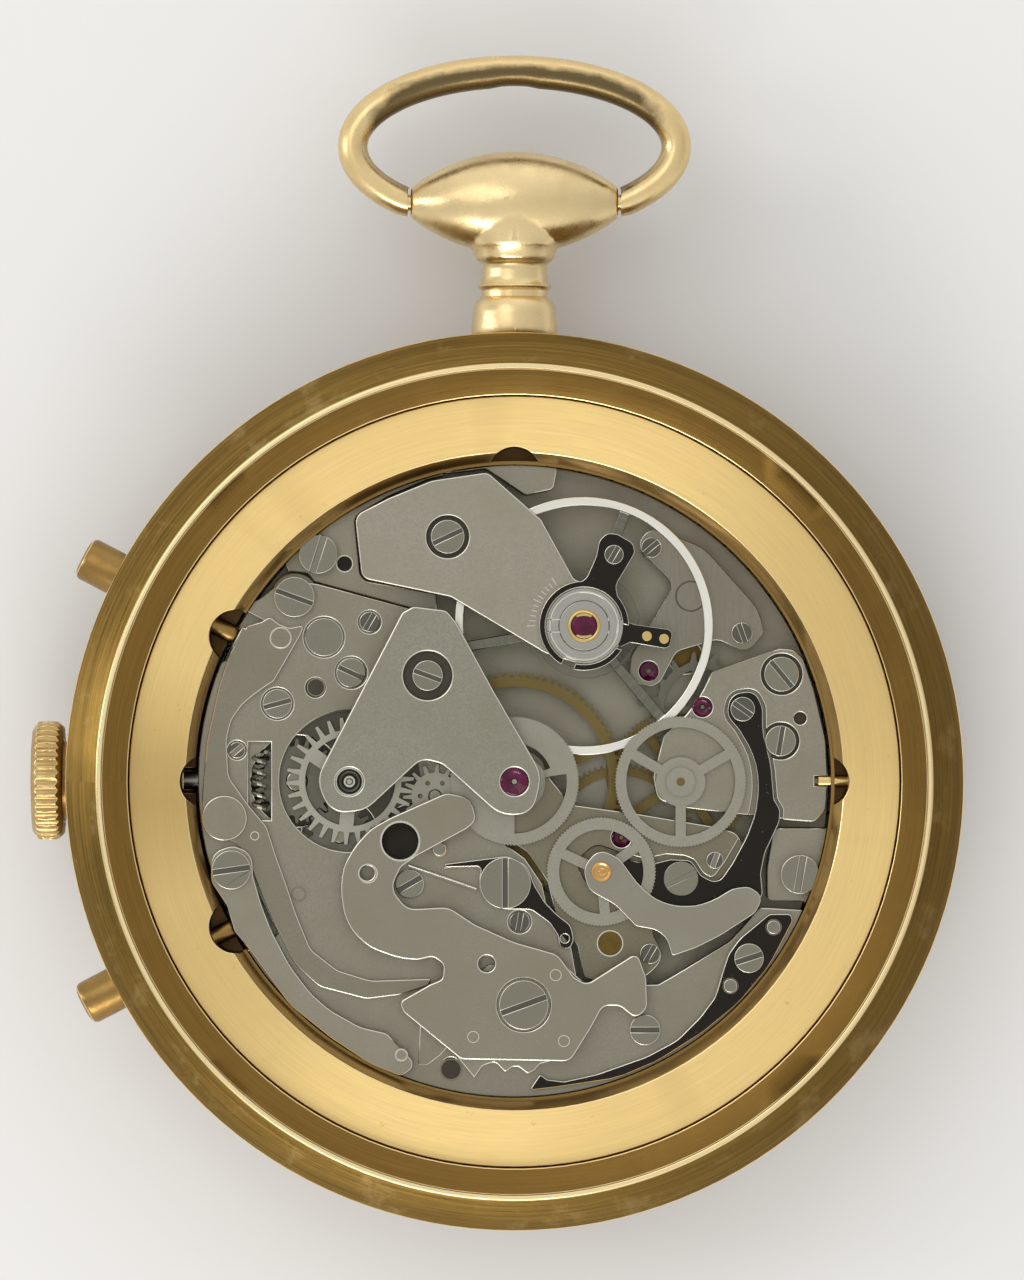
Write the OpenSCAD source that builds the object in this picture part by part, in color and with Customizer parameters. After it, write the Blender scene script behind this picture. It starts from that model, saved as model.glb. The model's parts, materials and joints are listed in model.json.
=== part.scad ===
// A pocket chronograph seen from the movement side, with its back taken off. Units are millimetres.
// The watch lies dial down. +Z points to the viewer of the movement, +Y to the bow, -X to the crown.
// The origin is on the central arbor, on the outer face of the crystal.

/* [Case] */
// Outside diameter of the case band
case_d = 43.6; // [43.2:0.1:46]
// Height of the case rim above the crystal's face
case_top = 10.4; // [10.35:0.05:11.5]
// Width of the case band outside the bore that the pressed-on back fits
band_w = 1.8; // [1.6:0.05:2.1]
// Depth of the back's bore below the rim
back_depth = 0.65; // [0.4:0.05:0.7]
// Width of the bright flat on top of the rim
rim_w = 0.2; // [0.1:0.05:0.4]
// Fall of the worn band outside the rim
band_fall = 1.4; // [0.8:0.1:1.8]
// Width of the ledge between the back's bore and the bore for the movement ring
ledge_w = 1.25; // [1.15:0.05:1.5]
// Gap between the movement and the ring around it
ring_gap = 0.15; // [0.1:0.01:0.25]
// Width of the chamfer inside the movement ring
ring_chamfer = 0.4; // [0.2:0.05:0.7]
// Height of the front bezel's lowest edge above the crystal's face
bezel_z = 0.3; // [0.1:0.05:0.5]
// Height at which the bezel meets the case band
bezel_top = 2.4; // [2.1:0.1:2.9]
// Width of the front bezel from the crystal to the outside of the case
bezel_w = 4.6; // [4.3:0.05:5]
// Width of the bezel's inner ledge that carries the crystal
crystal_ledge = 0.9; // [0.6:0.05:1.2]

/* [Crown and pushers] */
// Diameter of the winding crown
crown_d = 5.74; // [5:0.02:6.2]
// Length of the crown
crown_l = 1.6; // [1.3:0.05:1.9]
// Number of flutes on the crown
crown_flutes = 40; // [30:1:48]
// Gap between the pushed-in crown and the case
crown_gap = 0.2; // [0.1:0.05:0.4]
// Diameter of the winding stem
stem_d = 1; // [0.8:0.05:1.1]
// How far the crown pulls out to set the hands
crown_pull = 1; // [0.6:0.05:1.1]
// Diameter of a pusher's cap
pusher_d = 2.14; // [1.8:0.02:2.4]
// How far a pusher's cap stands out of the case
pusher_out = 1.85; // [1.5:0.05:2.4]
// Angle of each pusher from the crown's axis
pusher_angle = 27.5; // [26.5:0.1:28.5]
// Travel of the start and stop pusher
start_travel = 0.8; // [0.5:0.05:0.9]
// Travel of the reset pusher
reset_travel = 0.5; // [0.3:0.05:0.55]

/* [Pendant and bow] */
// Distance from the case band to the bow's hinge axis
hinge_l = 6.45; // [6.2:0.05:7]
// Half the width of the pendant's head
head_half_w = 5.07; // [4.6:0.01:5.3]
// Radius of the head at its middle
head_r = 2.5; // [2.2:0.05:2.7]
// Radius of the head's flat ends
head_end_r = 0.74; // [0.65:0.01:0.9]
// Half the outer width of the bow
bow_half_w = 8.64; // [8.2:0.02:9.2]
// Half the outer height of the bow's oval
bow_half_h = 4.46; // [4:0.02:5]
// Thickness of the bow at its sides
bow_w = 1.45; // [1.2:0.05:1.6]
// Thickness of the bow at its top
bow_top_w = 1.6; // [1.2:0.05:1.8]
// Depth of the bow from front to back
bow_depth = 1.8; // [1.5:0.05:2.2]
// Diameter of the bow's hinge pins
bow_pin_d = 0.8; // [0.6:0.05:0.9]

/* [Levels] */
// Thickness of the crystal
crystal_t = 1.2; // [1.1:0.05:1.4]
// Room between the crystal and the dial, where the hands turn
hand_room = 2; // [1.9:0.05:2.2]
// Thickness of the dial
dial_t = 0.4; // [0.3:0.05:0.5]
// Thickness of the mainplate
plate_t = 1.4; // [1.38:0.02:1.6]
// Room between the mainplate and the bridges, where the wheels turn
train_room = 1.45; // [1.42:0.01:1.6]
// Thickness of the barrel bridge
barrel_bridge_t = 0.75; // [0.72:0.01:0.85]
// Thickness of the plate under the chronograph levers
lever_plate_t = 0.4; // [0.36:0.01:0.5]
// Gap between one level of levers and the next
lever_gap = 0.08; // [0.06:0.01:0.12]
// Thickness of a chronograph lever
lever_t = 0.25; // [0.2:0.01:0.3]
// Thickness of the reset hammer
hammer_t = 0.38; // [0.3:0.01:0.45]
// Thickness of the chronograph bridge
top_bridge_t = 0.56; // [0.45:0.01:0.65]

/* [Movement] */
// Diameter of the movement
movement_d = 30.8; // [30.6:0.05:31]
// Outside diameter of the balance rim
balance_d = 12.6; // [12:0.05:12.7]
// Radial width of the balance rim
balance_rim_w = 0.43; // [0.3:0.01:0.6]
// Tip diameter of the driving wheel
driving_d = 6.4; // [6.3:0.01:6.42]
// Tip diameter of the chronograph runner's wheel
chronograph_wheel_d = 6.3; // [6.1:0.01:6.34]
// Tip diameter of the coupling wheel
coupling_d = 5.33; // [5.2:0.01:5.34]
// Tip diameter of the minute runner's wheel
minute_wheel_d = 6.2; // [6:0.02:6.24]
// Largest radius of the heart on the chronograph runner
heart_r = 1.5; // [1.2:0.05:1.55]
// Diameter of a jewel in the train
jewel_d = 0.96; // [0.8:0.02:1.05]
// Number of turns of the balance spring
spiral_turns = 5; // [3:1:5]
// Running clearance of an arbor in its bearing
run = 0.04; // [0.02:0.01:0.06]

/* [Hidden] */
$fn = 36;

// Levels, from the crystal up to the back
z_dial = crystal_t + hand_room;
z_plate = z_dial + dial_t;
z_train = z_plate + plate_t;
z_bridge = z_train + train_room;
z_lever_plate = z_bridge + barrel_bridge_t;
z_deck = z_lever_plate + lever_plate_t;
z_a = z_deck + lever_gap;
z_b = z_a + lever_t + lever_gap;
z_hammer = z_b + lever_t + lever_gap;
z_top = z_hammer + hammer_t + lever_gap + 0.04;
z_back = z_top + top_bridge_t;
ring_top = z_back - 0.2;
z_stem = z_train + 0.6;
z_push = z_lever_plate + 0.15;
z_bow = (bezel_z + case_top) / 2;

// Going train levels
z_third = z_train + 0.15;
z_fourth = z_train + 0.6;
z_escape = z_train + 1;
z_center = z_train + 1.1;
z_balance = z_train + 1.5;
balance_h = 0.6;
wheel_t = 0.16;
z_wheel = z_deck + 0.2;
chrono_t = 0.15;
z_heart = z_hammer + 0.04;
heart_t = hammer_t - 0.08;
z_winding = z_bridge + 0.4;
winding_t = 0.28;
z_motion = z_plate + 0.03;

// Arbor positions
CENTER = [0, 0];
MINUTE = [-8, 0];
FOURTH = [8.08, -0.03];
THIRD = [5.2, -2.75];
ESCAPE = [9.15, 3.6];
PALLET = [6.55, 5.35];
BALANCE = [3.37, 7.55];
BARREL = [-3.9, -4.87];
COUPLING = [4.22, -4.4];
CLUTCH = [11.1, 3.5];
HAMMER = [0.45, -10.85];
OPERATING = [-14.1, -1.8];
FLY_BACK = [-13.75, -4.3];
BLOCKING = [-0.45, -4.95];
CROWN_WHEEL = [-10.6, 0];
TRANSMISSION = [-8.51, -2.68];
SLIDING = MINUTE + polar(4.2, -10);
MOTION = [0, 3.6];

// Tooth counts of the trains
barrel_teeth = 84;
center_teeth = 80;
center_leaves = 12;
third_teeth = 75;
third_leaves = 10;
fourth_teeth = 80;
fourth_leaves = 10;
escape_teeth = 15;
escape_leaves = 8;
cannon_teeth = 12;
motion_teeth = 36;
motion_leaves = 10;
hour_teeth = 40;
driving_teeth = 120;
coupling_teeth = 100;
minute_teeth = 30;
sliding_teeth = 15;
crown_wheel_teeth = 24;
transmission_teeth = 19;
ratchet_teeth = 46;

case_r = case_d / 2;
back_r = case_r - band_w;
ring_bore_r = back_r - ledge_w;
plate_r = movement_d / 2;
ring_r = plate_r + ring_gap;
crystal_r = case_r - bezel_w;
dial_r = crystal_r - crystal_ledge + 0.2;
bow_hinge_y = case_r + hinge_l;
fit = 0.05;
through = 30;
gold = [0.86, 0.68, 0.36];
pale_gold = [0.91, 0.79, 0.5];
rose_gold = [0.8, 0.56, 0.38];
nickel = [0.62, 0.61, 0.57];
bright = [0.78, 0.77, 0.74];
black_steel = [0.09, 0.09, 0.1];
steel = [0.7, 0.7, 0.7];
brass = [0.56, 0.47, 0.22];
ruby = [0.5, 0.06, 0.26];

function polar(r, a) = [r * cos(a), r * sin(a)];
function unit(v) = v / norm(v);
function angle_to(a, b) = atan2(b.y - a.y, b.x - a.x);
function turned(v, a) = [v.x * cos(a) - v.y * sin(a), v.x * sin(a) + v.y * cos(a)];

// One corner of an outline, with the radius that its third value asks for and the sides allow
function corner(a, b, c, r) =
    let (p = [b.x, b.y], u = unit([a.x, a.y] - p), v = unit([c.x, c.y] - p),
        opening = acos(max(-0.99999, min(0.99999, u * v))),
        reach = min(r / tan(opening / 2), 0.48 * norm([a.x, a.y] - p), 0.48 * norm([c.x, c.y] - p)),
        radius = reach * tan(opening / 2),
        center = p + unit(u + v) * radius / sin(opening / 2),
        sweep = sign(u.x * v.y - u.y * v.x) * (opening - 180),
        steps = ceil(abs(sweep) / 15))
    r == 0 || opening > 176 ? [p] :
        [for (k = [0 : steps]) center + turned(p + u * reach - center, sweep * k / steps)];

// A closed outline of corner points [x, y, radius]; a point with no radius takes the common one
function outline(points, r = 0.3) =
    let (n = len(points))
    [for (i = [0 : n - 1])
        each corner(points[(i + n - 1) % n], points[i], points[(i + 1) % n],
            len(points[i]) > 2 ? points[i][2] : r)];

// An outline moved outwards by d at every corner; the points run anticlockwise
function grown(points, d) =
    let (n = len(points))
    [for (i = [0 : n - 1])
        let (a = points[(i + n - 1) % n], b = points[i], c = points[(i + 1) % n],
            u = unit([b.x - a.x, b.y - a.y]), v = unit([c.x - b.x, c.y - b.y]),
            side = unit([u.y + v.y, -u.x - v.x]), lean = max(0.4, side * [u.y, -u.x]))
        [b.x + side.x * d / lean, b.y + side.y * d / lean, len(b) > 2 ? b[2] : 0.3]];

// Outline of a gear: four points a tooth, with a tooth's middle at the phase angle
function gear(n, tip, root, phase = 0, crest = 0.2, foot = 0.56) =
    [for (i = [0 : n - 1]) for (q = [[root, -foot / 2], [tip, -crest / 2], [tip, crest / 2], [root, foot / 2]])
        polar(q[0], phase + (i + q[1]) * 360 / n)];

// Outline of a wheel with fine pointed teeth
function fine_gear(n, tip, root, phase = 0) =
    [for (i = [0 : 2 * n - 1]) polar(i % 2 == 0 ? tip : root, phase + i * 180 / n)];

// Phase of gear b that puts it in mesh with gear a, where dir is the angle from a to b
function mate(phase_a, teeth_a, teeth_b, dir) =
    dir + 180 + ((dir - phase_a) * teeth_a / 360 + 0.5) * 360 / teeth_b;

// Triangles of a swept skin: rings of points, one after the other, with a cap at each end
function skin(rings, sides) = concat(
    [[for (j = [0 : sides - 1]) j]],
    [for (i = [0 : rings - 2]) for (j = [0 : sides - 1]) each [
        [i * sides + j, (i + 1) * sides + j, (i + 1) * sides + (j + 1) % sides],
        [i * sides + j, (i + 1) * sides + (j + 1) % sides, i * sides + (j + 1) % sides]]],
    [[for (j = [sides - 1 : -1 : 0]) (rings - 1) * sides + j]]);

// Pitch radius of gear a that shares a centre distance with gear b
function pitch(a, b, distance) = distance * a / (a + b);

module at(p, z = 0) translate([p.x, p.y, z]) children();
module plate(points, z, t, r = 0.3) translate([0, 0, z]) linear_extrude(t) polygon(outline(points, r));
module rod(p, z0, z1, r) at(p, z0) cylinder(h = z1 - z0, r = r);
module disc(p, z, t, r) at(p, z) cylinder(h = t, r = r);
module radial(angle, z, r0, r1, r) rotate(angle) translate([r0, 0, z]) rotate([0, 90, 0]) cylinder(h = r1 - r0, r = r);

// A wheel blank with spokes: the toothed outline, the inside of the rim, the hub and the arms
module spoked(points, rim_in, hub, arms, arm_w, turn = 0) {
    difference() {
        polygon(points);
        difference() {
            circle(rim_in);
            circle(hub);
            for (i = [0 : arms - 1])
                rotate(turn + i * 360 / arms) translate([0, -arm_w / 2]) square([rim_in + 1, arm_w]);
        }
    }
}

// A slotted screw whose head stands on z
module screw(p, z, head_r, head_h, slot, shank_l, slot_w = 0.2) {
    shank_r = 0.45 * head_r;
    difference() {
        union() {
            disc(p, z, head_h, head_r);
            rod(p, z - shank_l, z, shank_r);
        }
        at(p, z + head_h * 0.55) rotate(slot) translate([-head_r - 1, -slot_w / 2, 0])
            cube([2 * head_r + 2, slot_w, head_h]);
    }
}

// The hole that a screw's shank passes through
module shank_hole(p, z, head_r, shank_l) rod(p, z - shank_l - 0.1, z + 0.01, 0.45 * head_r + 0.02);

// Case, pendant and bow

module case_middle() color(gold) difference() {
    rotate_extrude($fn = 120) polygon([
        [ring_bore_r, bezel_top], [case_r - 0.5, bezel_top], [case_r, bezel_top + 0.6],
        [case_r, case_top - band_fall], [back_r + rim_w, case_top], [back_r, case_top],
        [back_r, case_top - back_depth], [ring_bore_r, ring_top + 0.3]]);
    radial(180, z_stem, ring_bore_r - 1, case_r + 1, tube_r);
    for (s = [-1, 1]) {
        radial(180 + s * pusher_angle, z_push, ring_bore_r - 1, case_r, push_stem_r + fit);
        radial(180 + s * pusher_angle, z_push, cap_in - start_travel - 0.2, case_r + 1, pusher_d / 2 + fit);
    }
    translate([0, case_r - spigot_l, z_bow]) rotate([-90, 0, 0]) cylinder(h = 3, r = spigot_r);
}

tube_r = 1.9;
push_stem_r = 0.45;
cap_in = case_r - 1.2;
spigot_l = 1.2;
spigot_r = 1.3;
neck_r = 1.62;

// Radius of the pendant's spindle-shaped head at x
head_arc = (pow(head_half_w, 2) + pow(head_r - head_end_r, 2)) / (2 * (head_r - head_end_r));
function head_radius(x) = head_r - head_arc + sqrt(pow(head_arc, 2) - x * x);

module pendant() color(pale_gold) difference() {
    union() {
        translate([0, 0, z_bow]) rotate([-90, 0, 0]) difference() {
            rotate_extrude() polygon([
                [0, case_r - 0.6], [2.1, case_r - 0.6], [2.1, case_r + 0.4], [2, case_r + 1.35],
                [1.85, case_r + 1.65], [neck_r, case_r + 1.85], [neck_r, case_r + 2.15],
                [neck_r + 0.25, case_r + 2.34], [neck_r, case_r + 2.55], [1.55, case_r + 3.4],
                [1.9, case_r + 3.65], [2.05, case_r + 4.1], [2.3, case_r + 4.5],
                [2.3, bow_hinge_y], [0, bow_hinge_y]]);
        }
        translate([0, bow_hinge_y, z_bow]) rotate([0, 90, 0]) rotate([0, 0, 90]) rotate_extrude() polygon(concat(
            [[0, -head_half_w]],
            [for (k = [-10 : 10]) [head_radius(k * head_half_w / 10), k * head_half_w / 10]],
            [[0, head_half_w]]));
    }
    cylinder(h = through, r = case_r);
    for (s = [-1, 1])
        translate([s * (head_half_w - pin_l), bow_hinge_y, z_bow]) rotate([0, s * 90, 0])
            cylinder(h = pin_l + 1, r = bow_pin_d / 2 + fit);
}

pin_l = 0.9;
bow_gap = 0.15;
bow_center_y = bow_hinge_y + 2.75;
bow_end = head_half_w + bow_gap;
bow_mid_w = bow_half_w - bow_w / 2;
bow_mid_h = bow_half_h - bow_top_w / 2;
bow_start = acos(min(0.95, bow_end / bow_mid_w));
bow_rings = 36;
bow_sides = 12;

// A point on the bow's skin: ring i along the oval, side j around the section; the ends are cut upright
function bow_point(i, j) =
    let (a = -bow_start + i * (180 + 2 * bow_start) / (bow_rings - 1), b = -j * 360 / bow_sides,
        top = max(0, sin(a)), w = bow_w + (bow_top_w - bow_w) * top,
        last = i == 0 || i == bow_rings - 1,
        n = last ? [0, sin(a)] : unit([bow_mid_h * cos(a), bow_mid_w * sin(a)]),
        s = cos(b) * w / 2 * (last ? 1.25 : 1))
    [last ? sign(cos(a)) * bow_end : bow_mid_w * cos(a) + n.x * s,
        bow_center_y + bow_mid_h * sin(a) + n.y * s, z_bow + sin(b) * bow_depth / 2];

module bow() color(pale_gold) {
    polyhedron([for (i = [0 : bow_rings - 1]) for (j = [0 : bow_sides - 1]) bow_point(i, j)], skin(bow_rings, bow_sides));
    for (s = [-1, 1])
        translate([s * (bow_end - pin_l), bow_hinge_y, z_bow]) rotate([0, s * 90, 0])
            cylinder(h = pin_l + 0.4, r = bow_pin_d / 2);
}

module front_bezel() color(gold) rotate_extrude($fn = 120) polygon([
    [crystal_r, bezel_z], [crystal_r + 0.7, bezel_z], [case_r - 0.5, bezel_top - 0.5],
    [case_r - 0.5, bezel_top], [ring_bore_r - fit, bezel_top], [ring_bore_r - fit, z_dial],
    [crystal_r - crystal_ledge, z_dial], [crystal_r - crystal_ledge, crystal_t], [crystal_r, crystal_t]]);

module crystal() color([0.8, 0.9, 0.95, 0.3]) rotate_extrude($fn = 120) polygon([
    [0, 0], [crystal_r - 0.3, 0], [crystal_r, 0.3], [crystal_r, crystal_t], [0, crystal_t]]);

notch_r = 0.4 * (ring_bore_r - ring_r);

module movement_ring() color(gold) difference() {
    rotate_extrude($fn = 120) polygon([
        [ring_r, z_plate], [ring_bore_r - fit, z_plate], [ring_bore_r - fit, ring_top],
        [ring_r + ring_chamfer, ring_top], [ring_r, ring_top - 1]]);
    radial(180, z_stem, ring_r - 1, ring_bore_r, stem_d / 2 + 0.1);
    radial(0, z_push, ring_r - 1, ring_bore_r, pin_r);
    for (s = [-1, 1]) {
        radial(180 + s * pusher_angle, z_push, ring_r - 1, ring_bore_r, push_stem_r + fit);
        at(polar(ring_r - 0.3, 180 + s * pusher_angle), z_push - 1) cylinder(h = through, r = notch_r);
    }
    for (a = [0, 90, 180])
        at(polar(ring_r - 0.6, a), z_push - 1) cylinder(h = through, r = notch_r);
    translate([-ring_r - 0.6, -notch_r, z_stem]) cube([1.2, 2 * notch_r, z_push - z_stem]);
}

pin_r = 0.3;

module locating_pin() color(gold) radial(0, z_push, plate_r - 0.6, ring_bore_r - 0.6, pin_r);

subdial_r = 3.7;

module dial() color([0.93, 0.91, 0.85]) difference() {
    disc(CENTER, z_dial, dial_t, dial_r, $fn = 120);
    rod(CENTER, z_dial - 1, z_plate + 1, hour_pipe_r + run);
    for (p = [MINUTE, FOURTH]) {
        rod(p, z_dial - 1, z_plate + 1, 0.3);
        rod(p, z_dial - 1, z_dial + 0.1, subdial_r);
    }
}

marker_h = 0.25;
marker_l = 2;
long_marker_l = 2.6;
marker_in = dial_r - 3.9;

module hour_markers() color(pale_gold)
    for (h = [0 : 11])
        if (h % 6 != 3)
            rotate(h * 30) translate([-0.3, marker_in, z_dial - marker_h])
                cube([0.6, h % 3 == 0 ? long_marker_l : marker_l, marker_h]);

// Crown, stem and pushers

crown_in = -case_r - crown_gap;
crown_out = crown_in - crown_l;

module crown_tube() color(rose_gold) difference() {
    radial(180, z_stem, ring_bore_r, case_r + 0.75, tube_r);
    radial(180, z_stem, ring_bore_r - 1, case_r + 2, stem_d / 2 + 0.1);
}

module crown() color(pale_gold) translate([0, 0, z_stem]) rotate([0, -90, 0]) difference() {
    rotate_extrude($fn = 80) polygon([
        [stem_d / 2, -crown_in], [tube_r + 0.12, -crown_in], [crown_d / 2 - 0.25, -crown_in],
        [crown_d / 2, -crown_in + 0.3], [crown_d / 2 + 0.06, -crown_in + crown_l / 2],
        [crown_d / 2, -crown_out - 0.35], [crown_d / 2 - 0.35, -crown_out - 0.08], [1.2, -crown_out],
        [0, -crown_out], [0, -crown_in + 0.95], [stem_d / 2, -crown_in + 0.95]]);
    rotate_extrude() polygon([
        [0, -crown_in - 1], [tube_r + 0.12, -crown_in - 1],
        [tube_r + 0.12, -crown_in + 0.75], [0, -crown_in + 0.75]]);
    for (i = [0 : crown_flutes - 1])
        rotate(i * 360 / crown_flutes) translate([crown_d / 2 + 0.1, 0, -crown_in - 1])
            cylinder(h = crown_l + 2, r = 0.2, $fn = 6);
}

stem_in = 9.5;
pilot_r = 0.3;
pinion_x0 = 11.9;
pinion_x1 = 13;

module winding_stem() color(steel) {
    radial(180, z_stem, pinion_x0 - 0.4, -crown_in + 0.95, stem_d / 2);
    radial(180, z_stem, stem_in, pinion_x0 - 0.4, pilot_r);
}

module winding_pinion() color(steel) translate([0, 0, z_stem]) rotate([0, -90, 0]) difference() {
    translate([0, 0, pinion_x0]) linear_extrude(pinion_x1 - pinion_x0) polygon(gear(12, 0.93, 0.72));
    cylinder(h = through, r = stem_d / 2 + run);
}

// A pusher: a domed cap on a thin stem that reaches the lever inside
module pusher(angle) rotate(angle) translate([0, 0, z_push]) rotate([0, 90, 0]) rotate_extrude() polygon([
    [0, push_in], [push_stem_r - 0.1, push_in], [push_stem_r, push_in + 0.3], [push_stem_r, cap_in],
    [pusher_d / 2, cap_in], [pusher_d / 2, case_r + pusher_out - 0.3],
    [pusher_d / 2 - 0.1, case_r + pusher_out - 0.1], [pusher_d / 2 - 0.35, case_r + pusher_out],
    [0, case_r + pusher_out]]);

push_in = plate_r - 0.15;

module start_pusher() color(rose_gold) pusher(180 - pusher_angle);
module reset_pusher() color(rose_gold) pusher(180 + pusher_angle);

// Mainplate

pocket_gap = 0.15;
barrel_r = 5.2;
barrel_pitch = pitch(barrel_teeth, center_leaves, norm(BARREL));
barrel_tip = barrel_pitch + 0.13;
center_pinion_pitch = norm(BARREL) - barrel_pitch;
tube_center_r = 0.42;
bearing_x = 13.6;
land_z = z_lever_plate - 0.2;

// Raised lands of the mainplate beside the bridges: at the right of the plate and behind the balance cock
RIGHT_LAND = [[12.6, -2.3], [16, -2.3], [16, -6.6], [13.9, -5.85], [12.3, -5.85], [12.3, -4.2]];
TOP_LAND = [[-9.75, 9.72, 0.05], [-5, 8.42, 0.3], [-3.75, 7.98, 0.1], [-3.8, 9.12, 0.1], [-7.3, 9.74, 0.4],
    [-7.55, 10.1, 0.3], [-7.82, 12.85, 0.5], [-6.15, 13.85, 0.8], [-4.2, 14.68, 0.3], [-3.5, 14.85, 0.1], [-3.5, 18],
    [-12.2, 12.6], [-11, 10.2, 0.1], [-10.1, 10.1, 0.05]];
BACK_LAND = [[-4.1, 14.9], [-1.4, 15.2], [0.5, 13.9], [1.9, 14.2], [2.1, 15.3], [2.2, 18], [-4, 18]];
CASE_SCREWS = [[-9.55, 11.04, 72], [13.9, -4.55, 80]];
case_screw_r = 0.95;

module mainplate() color(nickel) difference() {
    union() {
        disc(CENTER, z_plate, plate_t, plate_r, $fn = 120);
        intersection() {
            disc(CENTER, z_plate, through, plate_r, $fn = 120);
            union() {
                plate(RIGHT_LAND, z_train - 0.1, land_z - z_train + 0.1);
                plate(TOP_LAND, z_train - 0.1, land_z - z_train + 0.1);
                plate(BACK_LAND, z_train - 0.1, z_deck - z_train + 0.1);
            }
        }
        translate([-plate_r + 0.4, -0.9, z_train - 0.1]) cube([plate_r - 0.4 - bearing_x, 1.8, z_bridge - z_train + 0.02]);
        translate([-11, -0.7, z_train - 0.1]) cube([11 - stem_in, 1.4, 1.2]);
        rod([MOTION.x, MOTION.y], z_motion, z_plate + 0.6, 0.3);
    }
    rod(BARREL, z_plate + 0.65, through, barrel_r + pocket_gap);
    rod(BARREL, z_plate - 1, through, 0.5);
    difference() {
        union() {
            rod(CENTER, z_plate - 1, z_plate + 0.5, hour_pitch + 0.35);
            rod(MOTION, z_plate - 1, z_plate + 0.5, motion_pitch + 0.35);
        }
        rod(MOTION, z_plate - 2, z_plate + 1, 0.3);
    }
    rod(CENTER, z_plate - 1, through, tube_center_r + run);
    rod(MINUTE, z_plate - 1, through, 0.13 + run);
    rod(FOURTH, z_plate - 1, z_train - 0.4, 0.4);
    rod(BALANCE, z_plate - 1, through, 0.6);
    for (p = [FOURTH, THIRD, ESCAPE, PALLET]) rod(p, z_train - 0.4, through, jewel_d / 2);
    radial(180, z_stem, stem_in - 1.5, plate_r + 1, pilot_r + run);
    radial(180, z_stem, 11.2, plate_r + 1, stem_d / 2 + run);
    translate([-pinion_x1 - 0.4, -1.1, z_stem - 1.1]) cube([pinion_x1 - pinion_x0 + 0.5, 2.2, 4]);
    for (s = CASE_SCREWS) shank_hole(s, land_z, case_screw_r, 1.6);
    translate([-plate_r - 1, -1, z_stem - 0.6]) cube([1.5, 2, 4]);
}

hour_pitch = pitch(hour_teeth, motion_leaves, norm(MOTION));
motion_pitch = pitch(motion_teeth, cannon_teeth, norm(MOTION));
cannon_pitch = norm(MOTION) - motion_pitch;
motion_leaf_pitch = norm(MOTION) - hour_pitch;
hour_pipe_r = 0.8;
cannon_r = 0.58;

// Bridges of the going train

LEFT_BRIDGE = [[-9.67, 9.61], [-11.2, 9.75, 0.6], [-12.4, 8.9, 0.5], [-13.5, 8.3, 0.2], [-13.9, 6, 0.2],
    [-17, 4], [-17, -5], [-14, -5.7, 0.2], [-13.4, -8.4, 0.2], [-15, -12], [-6, -18], [8, -18], [16, -10],
    [14.6, -6.3], [11.9, -6.15], [10.5, -7.8, 1], [8.2, -9.2], [7, -9.9], [3.1, -9.95], [2.75, -8],
    [1.7, -6.6], [1.35, -5], [0.5, -3.75], [-1.1, -2.6], [-2.1, -1.2], [-1.95, 1.2, 1], [-1.5, 3.4],
    [-1.9, 5.6], [-3, 7.6], [-5, 8.35]];
CENTER_BRIDGE = [[-1.1, 1.45, 1.3], [1.1, 1.5, 1], [1.75, 0.1], [2.75, -1.15], [6, -1.6], [9.6, -2.2, 1],
    [10.75, -2.5, 0.6], [11.25, -3.2, 0.4], [10.45, -4.4, 0.6], [9.85, -4.95, 0.5], [7.2, -6.1, 0.5],
    [6.7, -7.4, 0.6], [7.35, -8.6, 1], [6.4, -9.55, 1], [3.4, -9.75, 0.6], [3.05, -8, 0.6], [2, -6.55],
    [1.6, -4.9], [0.65, -3.5], [-0.8, -2.45], [-1.75, -0.8]];
TRAIN_BRIDGE = [[7.35, 3.1], [7.65, 3.6], [7.9, 4.3, 0.5], [8.5, 4.85, 0.5], [9.3, 5.2, 0.6], [12.9, 6.45, 0.5],
    [13.55, 6.4, 0.5], [14.05, 6.0, 0.5], [14.6, 4.4, 2], [15.15, 2, 2], [15.25, 0, 2], [15.15, -1.4, 0.5],
    [14.6, -2, 0.4], [13.3, -1.9], [12.1, -1.75], [8.2, -1.3], [6.95, -0.9, 0.6], [6.75, 0.2], [7, 1.2], [7.3, 2.4]];
CLUTCH_PLATE = [[10.5, 4.25, 0.9], [10.3, 3.2, 0.8], [10.9, 2.5, 1], [11.5, 1.5, 2], [11.8, 0.5, 2], [11.85, -0.5, 2],
    [11.7, -1.6, 2], [11.3, -2.7, 2], [10.6, -4, 1], [9.9, -5, 0.5], [9.1, -4.6, 0.5], [8.6, -3.85, 0.5],
    [7.6, -3.8, 0.5], [6.6, -4.05, 1], [5.2, -3.75, 0.5], [4.2, -3.4, 0.7], [3.3, -4.2, 0.8], [3.9, -5.2, 0.8],
    [5.4, -5.2, 1], [7, -5.9, 1], [8.6, -6.15, 1], [10.2, -6.1, 0.6], [11.4, -6.1, 0.5], [12.1, -5.6, 0.4],
    [12, -4.5, 1], [12.2, -3.5, 1], [12.9, -2, 0.6], [12.95, -1.4, 0.5], [12.65, -0.9], [12.5, 0.8, 3],
    [12.1, 2.4, 2], [12.1, 3.6, 0.9], [11.7, 4.4, 0.9]];
clutch_z = z_deck - 0.4;
clutch_t = 0.3;
clutch_swing = 1.7;
clutch_clear = 0.12;
clutch_stud_r = 0.4;

// The pocket in the bridges that the clutch swings in
module clutch_pocket() {
    for (a = [0, -clutch_swing / 2, -clutch_swing])
        at(CLUTCH) rotate(a) translate([-CLUTCH.x, -CLUTCH.y, 0])
            plate(grown(CLUTCH_PLATE, clutch_clear), clutch_z - lever_gap, through);
}

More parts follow.
